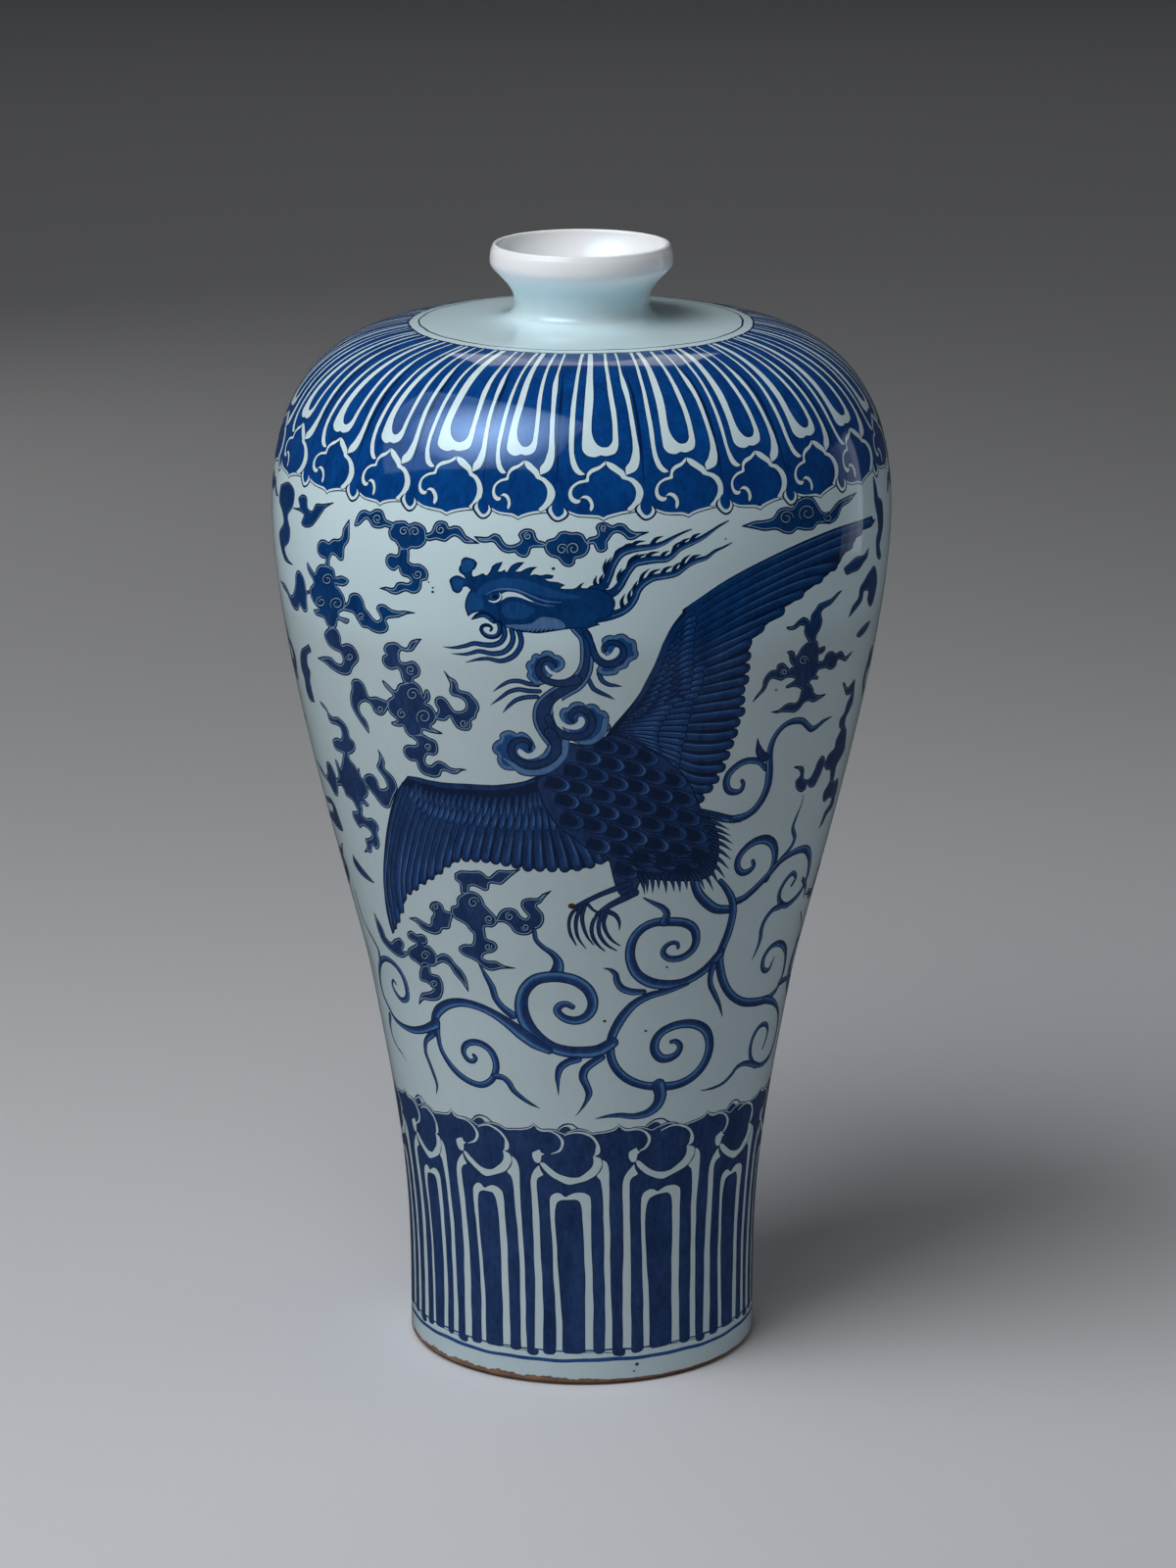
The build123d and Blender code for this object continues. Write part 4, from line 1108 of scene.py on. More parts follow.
crest = [
    ([604,602, 615,598.5, 621,588.5, 624,580, 628,572, 634,565, 642,561.5, 655,559, 667.5,557.5, 677.5,554,
      687,548.5, 700,542, 706,540], [9, 9, 8, 8, 7, 6, 5, 3, 1],
     [609,587, 616,585, 619,569.5, 624,568, 636.5,557, 648,554, 659,552, 677,547]),
    ([612,608, 625,605, 632,598.5, 636,591.5, 641,583, 648,575, 658,572.5, 669,571, 680,570.5, 687,566,
      694,559.5, 707,553.5, 717,548.5, 725,543, 734,536.5, 744,531], [10, 9, 8, 8, 8, 7, 6, 6, 5, 3, 1],
     [622,599, 634.5,579.5, 640,579, 652,564.5, 661,565, 673,563, 683,562, 695.5,552, 704,549, 715.5,544]),
    ([604,630, 621,628.5, 634,624.5, 642,619, 648,610, 650.5,603, 656,596, 666,590, 677.5,588, 690,585,
      702.5,576, 711,572, 721,569, 729.5,562.5, 738,558.5, 747,553.5], [13, 10, 8, 8, 8, 7, 7, 6, 5, 3, 1],
     [621,619, 628,617, 638,605.5, 645,600, 651,592, 663,580, 674.5,580.5, 687,577.5, 696,573, 705,565.5,
      715.5,566])]
flameBend = 0.18
for flat, widths, tips in crest:
    path = smooth(onVase(flat))
    for end in onVase(tips):
        root = path[max(0, np.hypot(*(path - end).T).argmin() - 5)]
        mid = (root + end) / 2 + np.array([-(end - root)[1], (end - root)[0]]) * flameBend
        flame = smooth([root, mid, end])
        lay("line", ribbon(flame, [3.0, 1.9, 0.2]))
    lay("line", ribbon(path, inMm(widths)))
for flat, widths, _ in crest:
    path = smooth(onVase(flat))
    lay("deep", ribbon(path, inMm(widths), 0.6))
    side = sideways(path) * (-0.55 / radiusAt(path[:, 1]))[:, None]
    lay("pale", ribbon((path + side)[6:], [0.5, 0.9, 0.9, 0.6, 0.1]))

head = {
    "shape": [480,602, 477,599, 473,599, 471,603, 467,605.5, 462,603, 460,598, 458.5,592, 461,589, 466,587,
        470,588, 475,590.5, 475,590.5, 473,587, 469,584, 468,580, 470,576, 471,571, 475,568.5, 480,569.5,
        484,571, 487,575, 485,580, 482,583, 482.5,588, 488,587, 493,585, 496,587, 500,583, 502,578, 506,575,
        513,573, 513,573, 511,578, 508,583, 508,583, 512,583, 515,581, 516.5,584, 519,581, 522,577, 528,574,
        535.5,573.5, 535.5,573.5, 531,578, 526,583, 526,583, 531,583, 537,580, 543,578.5, 548.5,578.5,
        548.5,578.5, 544,582, 541,587, 541,587, 546,586, 552,587, 558,586, 565,587, 565,587, 564,590,
        556,591, 556,591, 560,593, 569,594, 577,597, 577,597, 572,600, 580,601, 587,600, 592,596, 596.5,594,
        596.5,594, 593,599.5, 600,600, 608,600, 622,606, 628,615, 622,629, 608,634, 612.5,637.5,
        612.5,637.5, 604,640, 598,642, 590,641.5, 580,642, 570,643.5, 560,645, 548,646.5, 538,645.5,
        530,645, 524,643, 518,641, 510,638, 504,635, 499,630, 494,625, 488,624.5, 482,626, 477.5,629.5,
        477.5,629.5, 474.5,620, 475,612, 478,605],
    "beak": [482,604.5, 489,606, 493,612, 493,620, 489,622.8, 483,623.8, 478.8,626.5, 476,619, 476.5,612,
        479,606.5],
    "crown": [486,604, 492,597.5, 502,592.5, 515,590, 530,591, 545,594.5, 560,600, 575,605, 592,608.5,
        592,610, 572,611, 556,609, 545,606, 532,601.5, 518,599.5, 504,601.5, 496,606.5, 490,608],
    "cheek": [514,613, 522,611, 531,612, 541,616, 552,620, 568,621, 590,619, 604,620, 600,628, 584,632,
        572,631, 560,627.5, 550,628, 544,632, 534,634.5, 522,634.5, 514,632, 509,625, 509,618],
    "collar": [509,637.5, 516,637.8, 525,637.2, 535,637.2, 543,635.8, 548,632.2, 552,629.8, 558,629.7,
        565,630.7, 572,633.2, 576,637, 577,640.5, 570,641.8, 558,643.3, 546,644.3, 536,643.8, 527,642.3,
        518,639.8],
    "eyeWhite": [511.5,606.5, 516,604.2, 522,604, 530,606, 538,610.5, 546,614.8, 546,614.8, 540,613.2,
        533,610.4, 525,608.8, 517,609.6, 511,612.8, 513,609.5],
    "cheekLight": [516,616, 526,613.5, 536,617, 546,622, 540,629, 528,632, 517,630, 512,623],
    "combTop": [470.5,577, 473,572, 478,571, 483,573.5, 483,578, 479,583, 475,584.5, 471,581],
    "combFront": [461.5,593, 464,590, 469,590.5, 472.5,594, 471,600, 467,603, 463.5,600],
    "brow": [496,606.5, 505,602.2, 517,600.9, 529,602.6, 540,607, 550,611.4, 560,614, 573,614.6],
    "browEnd": [546,615, 554,617.3, 566,618.6],
    "eye": [505, 609],
    "eyeCorner": [498.5,612.8, 504,614.3, 509,612.2, 511,608.2, 509.5,605],
    "jaw": [481,632.2, 486,629, 492,626.8, 498,628.5, 504,633.5],
    "jawLight": [486,630, 492,628, 498,630, 503,634],
    "wattle": [509,635, 510.5,641, 508,648, 501.5,650, 495,648, 491,642.5, 493,638.5, 498.5,638, 502,641,
        500.5,643.5],
    "wattleLight": [509,637, 509.5,641.5, 507,647, 501.5,649, 495.5,647, 492.3,642.5, 494,639.5],
}
ticks = {"first": 527, "last": 566, "step": 4.5, "row": 644.5, "bendFrom": 546, "bend": 0.06}
shape = smooth(onVase(head["shape"]), closed=True, step=0.006)
lay("line", shape)
lay("deep", inset(shape, 0.7))
for part, tone in (("crown", "mid"), ("beak", "mid"), ("cheek", "deep"), ("cheekLight", "mid"),
                   ("combTop", "mid"), ("combFront", "mid"), ("collar", "pale")):
    fill(tone, head[part])
for x in np.arange(ticks["first"], ticks["last"], ticks["step"]):
    y = ticks["row"] - max(0, x - ticks["bendFrom"]) * ticks["bend"]
    brush("line", [x,y, x + 3,y - 3], [0.9, 0.2])
brush("pale", head["brow"], [0.3, 0.9, 1.0, 0.9, 0.8, 0.3])
brush("pale", head["browEnd"], [0.5, 0.6, 0.2])
fill("ground", head["eyeWhite"])
eyeAt = onVase(head["eye"])[0]
lay("mid", disc(eyeAt, 2.6, flat=0.62))
lay("line", disc(eyeAt, 1.5, flat=0.8))
brush("ground", head["eyeCorner"], [0.3, 0.9, 0.9, 0.7, 0.3])
brush("line", head["jaw"], [0.6, 2.6, 3.2, 3.6, 3.2])
brush("mid", head["jawLight"], [0.2, 1.0, 1.4, 0.8])
brush("line", head["wattle"], [3.0, 2.8, 2.6, 2.5, 2.5, 2.3, 2.0, 1.8, 1.2])
brush("mid", head["wattleLight"], [1.2, 1.2, 1.1, 1.0, 0.9, 0.3])
beard = [[514,640, 515,648, 511,655, 504,658, 494,658, 484,656.5, 475,659, 463,661, 452,660],
    [522,643, 523.5,651, 521,659, 513.5,665.5, 502,667, 489,664.5, 476,667.5, 460.5,667],
         [530,645, 532,653.5, 530,662, 522.5,670.5, 511,674.5, 498,672, 487,673, 475,676]]
for flat in beard:
    brush("line", flat, [2.8, 2.9, 2.8, 2.4, 1.8, 0.3])
    brush("mid", flat, [1.3, 1.4, 1.3, 1.0, 0.5, 0.1])
print("bird drawn", len(painted))

# Iron specks burnt through the glaze, and a drop of cobalt near the foot
repeat["turns"] = [0.0]
specks = [
    ("spot", 583.5, 924.6, 1.9), ("spot", 617, 1042, 0.9), ("spot", 659, 1052, 0.8),
    ("spot", 680.5, 987, 0.7), ("spot", 564.6, 580.3, 0.9), ("spot", 437.5, 594, 0.5),
    ("spot", 441.6, 599.8, 0.6), ("spot", 441.5, 604, 0.8), ("spot", 359, 787, 0.8),
    ("pale", 740.5, 550, 0.6), ("pale", 792, 704, 0.8), ("mid", 650, 1392, 1.1), ("pale", 647, 1399, 0.7),
]
for tone, x, y, size in specks:
    lay(tone, disc(onVase([x, y])[0], size, flat=0.85))

# The glaze stops short of the foot, raggedly, most of all at the left
t = np.linspace(-pi, pi, 721)
nick = {"turn": -0.95, "sharpness": 8}
thick = 1 / (1 + (t - nick["turn"]) ** nick["sharpness"])
ragged = 1.7 + 0.4 * np.sin(23 * t) + 0.3 * np.sin(61 * t + 1) + 0.25 * np.sin(140 * t + 2)
bareEdge = 0.35 + 0.12 * np.sin(37 * t) + thick * ragged
underFoot = np.stack([t, np.full_like(t, -0.001)], 1)
glazeEdge = np.stack([t, np.maximum(bareEdge, 0.05) / q["bevelTop"][0]], 1)
painted.append((tones["bare"], np.vstack([underFoot, glazeEdge[::-1]])))

# Cut the painted outside along every outline and read the tone of each small face
joint = {
    "footLow": 33.2, "footHigh": 34.8, "bodyLow": 398.2, "bodyHigh": 399.8,
    "capOut": 106.8, "capIn": 105.2, "neckOut": 44.8, "neckIn": 43.2,
}
cuts = {name: riseAtHeight(joint[name]) for name in ("footLow", "footHigh", "bodyLow", "bodyHigh")}
cuts.update({name: riseAtRadius(joint[name]) for name in ("capOut", "capIn", "neckOut")})
lines = [0.0] + list(cuts.values())
points, edges = [], []


def finer(p, closed, most=0.03):
    # extra points along long edges, so that every face follows the turned form
    ends = np.roll(p, -1, axis=0) if closed else p[1:]
    out = []
    for a, b in zip(p, ends):
        n = max(1, int(ceil(np.hypot(*(b - a)) / most)))
        out.extend(a + (b - a) * k / n for k in range(n))
    return np.array(out if closed else out + [p[-1]])


def addPath(p, closed=True):
    p = finer(p, closed)
    start = len(points)
    points.extend(map(tuple, p))
    n = len(p)
    edges.extend((start + i, start + (i + 1) % n) for i in range(n if closed else n - 1))


for _, poly in painted:
    clipped = np.stack([np.clip(poly[:, 0], -pi, pi), poly[:, 1]], 1)
    addPath(clipped)
grid = 0.045
columns = np.linspace(-pi, pi, int(2 * pi / grid) + 1)
for v in lines:
    addPath(np.stack([columns, np.full_like(columns, v)], 1), False)
rows = np.linspace(0, lines[-1], int(lines[-1] / grid) + 1)
for t in (-pi, pi):
    addPath(np.stack([np.full_like(rows, t), rows], 1), False)
seamRoom = 0.01
for i, v in enumerate(rows[1:-1]):
    shifted = columns[1:-1] + (grid / 2 if i % 2 else 0)
    points.extend((t, v) for t in shifted if t < pi - seamRoom)
sameSpot = 2e-6
made = delaunay_2d_cdt([Vector(p) for p in points], edges, [], 0, sameSpot)
flatPoints = np.array([(p.x, p.y) for p in made[0]])
tris = np.array([f for f in made[2] if len(f) == 3])
middle = flatPoints[tris].mean(axis=1)
span = flatPoints[tris]
area = np.cross(span[:, 1] - span[:, 0], span[:, 2] - span[:, 0])
tris[area < 0] = tris[area < 0][:, ::-1]
good = (np.abs(area) > 1e-13) & (np.abs(middle[:, 0]) < pi)
good = good & (middle[:, 1] > 0) & (middle[:, 1] < lines[-1])
tris, middle = tris[good], middle[good]
tone = np.zeros(len(tris), int)
mostAtOnce = 4000000
order = np.argsort(middle[:, 1])
sortedRise = middle[order, 1]
for index, poly in painted:
    a, b = np.searchsorted(sortedRise, (poly[:, 1].min(), poly[:, 1].max()))
    near = order[a:b]
    m = middle[near]
    near = near[(m[:, 0] > poly[:, 0].min()) & (m[:, 0] < poly[:, 0].max())]
    for part in np.array_split(near, max(1, len(near) * len(poly) // mostAtOnce)):
        x, y = middle[part, 0][:, None], middle[part, 1][:, None]
        x0, y0 = poly.T
        x1, y1 = np.roll(poly, -1, axis=0).T
        turn = (x1 - x0) * (y - y0) - (x - x0) * (y1 - y0)
        upward = ((y0 <= y) & (y1 > y) & (turn > 0)).sum(axis=1)
        downward = ((y0 > y) & (y1 <= y) & (turn < 0)).sum(axis=1)
        tone[part[upward > downward]] = index
print("painted faces", len(tris), "points", len(flatPoints))

# Weld the seam at the back, and drop the faces that this closes up
seam = {"turn": 1e-6, "rise": 1e-5}
seamLeft = np.nonzero(flatPoints[:, 0] < -pi + seam["turn"])[0]
weld = np.arange(len(flatPoints))
for i in np.nonzero(flatPoints[:, 0] > pi - seam["turn"])[0]:
    j = seamLeft[np.abs(flatPoints[seamLeft, 1] - flatPoints[i, 1]).argmin()]
    if abs(flatPoints[j, 1] - flatPoints[i, 1]) < seam["rise"]:
        weld[i] = j
ends = weld[tris]
sound = (ends[:, 0] != ends[:, 1]) & (ends[:, 1] != ends[:, 2]) & (ends[:, 2] != ends[:, 0])
tris, middle, tone = tris[sound], middle[sound], tone[sound]
place3 = placed(flatPoints)
normal3 = facing(flatPoints)


# Shared colour effects
def groupOf(name, inputs, outputs):
    tree = bpy.data.node_groups.new(name, "ShaderNodeTree")
    for label, kind, value in inputs:
        socket = tree.interface.new_socket(label, in_out="INPUT", socket_type=kind)
        socket.default_value = value
    for label, kind in outputs:
        tree.interface.new_socket(label, in_out="OUTPUT", socket_type=kind)
    return tree, tree.nodes.new("NodeGroupInput"), tree.nodes.new("NodeGroupOutput")


def node(tree, kind, **values):
    n = tree.nodes.new(kind)
    for key, value in values.items():
        if hasattr(n, key):
            setattr(n, key, value)
        else:
            n.inputs[key].default_value = value
    return n


def link(source, outlet, target, inlet):
    source.id_data.links.new(source.outputs[outlet], target.inputs[inlet])


def washGroup():
    taken = [("Thin", "NodeSocketColor", (1, 1, 1, 1)), ("Pooled", "NodeSocketColor", (0, 0, 0, 1)),
             ("Spread", "NodeSocketFloat", 0.5)]
    tree, given, out = groupOf("brushedWash", taken, [("Color", "NodeSocketColor")])
    where = node(tree, "ShaderNodeTexCoord")
    drawn = node(tree, "ShaderNodeMapping", Scale=(1.0, 1.0, 0.45))
    link(where, "Object", drawn, "Vector")
    broad = node(tree, "ShaderNodeTexNoise", Scale=95.0, Detail=3.0, Roughness=0.6)
    fine = node(tree, "ShaderNodeTexNoise", Scale=420.0, Detail=4.0, Roughness=0.7)
    link(drawn, "Vector", broad, "Vector")
    link(drawn, "Vector", fine, "Vector")
    both = node(tree, "ShaderNodeMath", operation="ADD")
    link(broad, "Fac", both, 0)
    link(fine, "Fac", both, 1)
    level = node(tree, "ShaderNodeMapRange")
    level.inputs["From Min"].default_value = 0.72
    level.inputs["From Max"].default_value = 1.28
    link(both, 0, level, "Value")
    amount = node(tree, "ShaderNodeMath", operation="MULTIPLY")
    link(level, "Result", amount, 0)
    link(given, "Spread", amount, 1)
    mix = node(tree, "ShaderNodeMix", data_type="RGBA")
    link(amount, 0, mix, 0)
    link(given, "Thin", mix, 6)
    link(given, "Pooled", mix, 7)
    link(mix, 2, out, "Color")
    return tree


def rippleGroup():
    taken = [("Amount", "NodeSocketFloat", 1.0)]
    tree, given, out = groupOf("glazeRipple", taken, [("Height", "NodeSocketFloat")])
    where = node(tree, "ShaderNodeTexCoord")
    slow = node(tree, "ShaderNodeTexNoise", Scale=24.0, Detail=2.0)
    fast = node(tree, "ShaderNodeTexNoise", Scale=260.0, Detail=2.0)
    link(where, "Object", slow, "Vector")
    link(where, "Object", fast, "Vector")
    small = node(tree, "ShaderNodeMath", operation="MULTIPLY_ADD")
    small.inputs[1].default_value = 0.08
    link(fast, "Fac", small, 0)
    link(slow, "Fac", small, 2)
    scaled = node(tree, "ShaderNodeMath", operation="MULTIPLY")
    link(small, 0, scaled, 0)
    link(given, "Amount", scaled, 1)
    link(scaled, 0, out, "Height")
    return tree


def heightGroup():
    taken = [("Below", "NodeSocketColor", (1, 1, 1, 1)), ("Above", "NodeSocketColor", (1, 1, 1, 1)),
             ("Low", "NodeSocketFloat", 0.0), ("High", "NodeSocketFloat", 1.0)]
    tree, given, out = groupOf("heightBlend", taken, [("Color", "NodeSocketColor")])
    where = node(tree, "ShaderNodeTexCoord")
    split = node(tree, "ShaderNodeSeparateXYZ")
    level = node(tree, "ShaderNodeMapRange", interpolation_type="SMOOTHSTEP")
    link(where, "Object", split, 0)
    link(split, "Z", level, "Value")
    link(given, "Low", level, "From Min")
    link(given, "High", level, "From Max")
    mix = node(tree, "ShaderNodeMix", data_type="RGBA")
    link(level, "Result", mix, 0)
    link(given, "Below", mix, 6)
    link(given, "Above", mix, 7)
    link(mix, 2, out, "Color")
    return tree


wash, ripple, byHeight = washGroup(), rippleGroup(), heightGroup()


def washed(tree, thinColour, pooled, spread):
    return node(tree, "ShaderNodeGroup", node_tree=wash,
                Thin=(*thinColour, 1), Pooled=(*pooled, 1), Spread=spread)


def material(name, thinColour, pooled, spread=0.5, roughness=0.07, above=None):
    m = bpy.data.materials.new(name)
    m.use_nodes = True
    tree = m.node_tree
    shader = tree.nodes["Principled BSDF"]
    colour = washed(tree, thinColour, pooled, spread)
    if above:
        low, high, upper = above[:3]
        blend = node(tree, "ShaderNodeGroup", node_tree=byHeight, Low=low, High=high, Above=(*upper, 1))
        if len(above) > 3:
            richer = washed(tree, upper, above[3], spread)
            link(richer, "Color", blend, "Above")
        link(colour, "Color", blend, "Below")
        colour = blend
    link(colour, "Color", shader, "Base Color")
    height = node(tree, "ShaderNodeGroup", node_tree=ripple)
    bump = node(tree, "ShaderNodeBump", Strength=0.25, Distance=0.0006)
    link(height, "Height", bump, "Height")
    link(bump, "Normal", shader, "Normal")
    shader.inputs["Roughness"].default_value = roughness
    m.diffuse_color = (*thinColour, 1)
    return m


# heights in metres between which a wash turns to its upper colour
bodyBlend, lipLightBlend = (0.385, 0.41), (0.548, 0.560)
skins = [
    material("whiteGlaze", (0.60, 0.73, 0.77), (0.54, 0.68, 0.72), 0.6,
             above=(*bodyBlend, (0.67, 0.85, 0.91))),
    material("paleWash", (0.12, 0.25, 0.47), (0.05, 0.14, 0.34), 0.8),
    material("midWash", (0.028, 0.105, 0.31), (0.014, 0.055, 0.20), 0.9,
             above=(*bodyBlend, (0.012, 0.095, 0.30), (0.006, 0.05, 0.20))),
    material("deepWash", (0.002, 0.073, 0.31), (0.001, 0.030, 0.16), 0.9),
    material("inkLine", (0.012, 0.028, 0.082), (0.008, 0.018, 0.055), 0.9,
             above=(*bodyBlend, (0.002, 0.022, 0.095), (0.001, 0.012, 0.06))),
    material("ironSpot", (0.10, 0.045, 0.025), (0.05, 0.02, 0.012), 0.9),
    material("biscuit", (0.30, 0.17, 0.10), (0.16, 0.08, 0.045), 0.9, 0.7),
    material("duskWash", (0.028, 0.066, 0.19), (0.010, 0.028, 0.092), 0.9,
             above=(*bodyBlend, (0.004, 0.062, 0.23), (0.002, 0.026, 0.11))),
    material("innerGlaze", (0.80, 0.86, 0.88), (0.76, 0.83, 0.85), 0.6, 0.15),
    material("luteJoint", (0.60, 0.68, 0.68), (0.52, 0.60, 0.60), 0.6, 0.5),
    # the neck's white glaze is painted lighter than the body's, and near white on the lip: painted top
    # light on the neck and lip
    material("neckGlazePaintedLight", (0.66, 0.80, 0.83), (0.60, 0.76, 0.79), 0.6,
             above=(*lipLightBlend, (0.97, 0.985, 1.0))),
    material("thinWash", (0.26, 0.42, 0.60), (0.18, 0.33, 0.53), 0.8),
]
whiteSkin, biscuitSkin, innerSkin, luteSkin, neckSkin = tones["ground"], tones["bare"], 8, 9, 10
columnsIn = 192
turnsIn = np.linspace(-pi, pi, columnsIn, endpoint=False)


def finishPiece(name, verts, faces, mats, normals, uvs, node):
    mesh = bpy.data.meshes.new(name)
    mesh.from_pydata([tuple(v) for v in verts], [], [tuple(int(i) for i in f) for f in faces])
    used = sorted(set(int(m) for m in mats))
    for m in used:
        mesh.materials.append(skins[m])
    look = {m: i for i, m in enumerate(used)}
    mesh.polygons.foreach_set("material_index", [look[int(m)] for m in mats])
    mesh.polygons.foreach_set("use_smooth", [True] * len(faces))
    layer = mesh.uv_layers.new(name="OFBake")
    layer.uv.foreach_set("vector", np.asarray(uvs, np.float32).ravel())
    mesh.normals_split_custom_set([tuple(n) for n in normals])
    mesh.update()
    piece = bpy.data.objects.new(name, mesh)
    bpy.context.scene.collection.objects.link(piece)
    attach(piece, "root")
    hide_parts(node)
    print("piece", name, len(faces))


def strip(index, t, v):
    # one strip of the unrolled picture for each tone
    return np.stack([(t + pi) / (2 * pi), (index + 0.04 + 0.92 * v) / len(skins)], -1)


onCut = 3e-6  # how close in rise a point lies to the cut it belongs to


def section(name, node, low, high, back, backSkins=None):
    chosen = np.nonzero((middle[:, 1] > low) & (middle[:, 1] < high))[0]
    corner = tris[chosen]
    used, local = np.unique(weld[corner], return_inverse=True)
    faces = local.reshape(-1, 3)
    verts = place3[used]
    mats = list(tone[chosen])
    normals = normal3[corner].reshape(-1, 3)
    rising = (flatPoints[corner][..., 1] - low) / (high - low)
    uvs = strip(tone[chosen][:, None], flatPoints[corner][..., 0], rising).reshape(-1, 2)
    faces, normals, uvs, verts = list(faces), list(normals), list(uvs), list(verts)
    count = len(verts)
    # the rest of the section's skin, from its lower joint round the inside to its upper joint
    for r, z in back:
        verts.extend(np.stack([r * np.sin(turnsIn), -r * np.cos(turnsIn), np.full(columnsIn, z)], 1) * mm)

    def addFace(f, skin, a, b, rowAbove):
        p = [np.asarray(verts[i]) for i in f]
        n = np.cross(p[1] - p[0], p[2] - p[0])
        n = n / max(np.linalg.norm(n), 1e-15)
        faces.append(f)
        mats.append(skin)
        normals.extend([n] * len(f))
        for i in f:
            t = atan2(verts[i][0], -verts[i][1])
            if t < -pi + 1e-4 and atan2(np.mean([v[0] for v in p]), -np.mean([v[1] for v in p])) > 0:
                t = pi
            uvs.append(strip(skin, np.array(t), np.array(a if i < count + columnsIn * rowAbove else b)))

    steps = len(back) - 1
    for k in range(steps):
        skin = (backSkins or [innerSkin] * steps)[k]
        for i in range(columnsIn):
            j = (i + 1) % columnsIn
            a, b = count + k * columnsIn, count + (k + 1) * columnsIn
            addFace([a + i, b + i, b + j, a + j], skin, k / steps, (k + 1) / steps, k + 1)
    # joints between the painted edge and that skin
    for v, row, flip in ((low, 0, False), (high, steps, True)):
        edgeIds = [i for i, u in enumerate(used) if abs(flatPoints[u, 1] - v) < onCut]
        edgeIds.sort(key=lambda i: flatPoints[used[i], 0])
        outerTurn = [flatPoints[used[i], 0] for i in edgeIds]
        first = count + row * columnsIn
        i = 0
        j = 0
        skin = biscuitSkin if node == "foot_ring" and row == 0 else luteSkin
        while i < len(edgeIds) or j < columnsIn:
            nextOuter = outerTurn[i + 1] if i + 1 < len(edgeIds) else pi
            nextInner = turnsIn[j + 1] if j + 1 < columnsIn else pi
            o, n = edgeIds[i % len(edgeIds)], first + j % columnsIn
            if j >= columnsIn or (i < len(edgeIds) and nextOuter <= nextInner):
                f = [o, n, edgeIds[(i + 1) % len(edgeIds)]]
                i += 1
            else:
                f = [o, n, first + (j + 1) % columnsIn]
                j += 1
            addFace(f[::-1] if flip else f, skin, 0.0, 1.0, row + 1)
    finishPiece(name, verts, faces, mats, normals, uvs, node)


insideAll = np.vstack([cupIn, wallIn[1:]])[::-1]


def innerRun(low, high, rows):
    # the inside from one joint to the next, in even steps
    a = np.hypot(*(insideAll - low).T).argmin()
    b = np.hypot(*(insideAll - high).T).argmin()
    part = insideAll[min(a, b):max(a, b) + 1]
    pick, s = np.linspace(0, 1, rows), along(part)
    path = np.stack([np.interp(pick, s, part[:, 0]), np.interp(pick, s, part[:, 1])], 1)
    path[0], path[-1] = low, high
    return path


def innerAtHeight(z):
    part = wallIn[::-1]
    return np.array([np.interp(z, part[:, 1], part[:, 0]), z])


throatEnd, shoulderEnd = 41, 61  # rows of cupIn and wallIn that the inner shoulder lies between


def innerAtRadius(r):
    part = np.vstack([cupIn[throatEnd:], wallIn[1:shoulderEnd]])
    return np.array([r, np.interp(r, part[:, 0], part[:, 1])])


floorAbove = 27.0  # height of the foot's second row inside
footBevelIn = (88.7, 2.2)
footBack = np.array([footBevelIn, q["faceOut"], q["faceIn"], q["recessLip"], q["floorEdge"],
                     innerAtHeight(floorAbove), innerAtHeight(joint["footLow"])])
footSkins = [biscuitSkin] * 3 + [innerSkin] * 3
section("footRing", "foot_ring", 0.0, cuts["footLow"], footBack, footSkins)
# the sections above it: piece, node, lower joint, upper joint, rows inside, finish
upperSections = [
    ("footSlip", "foot_slip", "footLow", "footHigh", 2, "luting_slip"),
    ("lowerBody", "lower_body", "footHigh", "bodyLow", 22, "glazed_porcelain"),
    ("bodySlip", "body_slip", "bodyLow", "bodyHigh", 2, "luting_slip"),
    ("upperBody", "upper_body", "bodyHigh", "capOut", 18, "glazed_porcelain"),
    ("shoulderSlip", "shoulder_slip", "capOut", "capIn", 2, "luting_slip"),
    ("shoulderCap", "shoulder_cap", "capIn", "neckOut", 14, "glazed_porcelain"),
]
innerAt = {name: innerAtHeight(joint[name]) for name in ("footLow", "footHigh", "bodyLow", "bodyHigh")}
innerAt.update({name: innerAtRadius(joint[name]) for name in ("capOut", "capIn", "neckOut", "neckIn")})
for name, nodeName, low, high, rows, slotName in upperSections:
    section(name, nodeName, cuts[low], cuts[high], innerRun(innerAt[low], innerAt[high], rows))


softTurn = 50  # degrees between neighbours that still shade as one


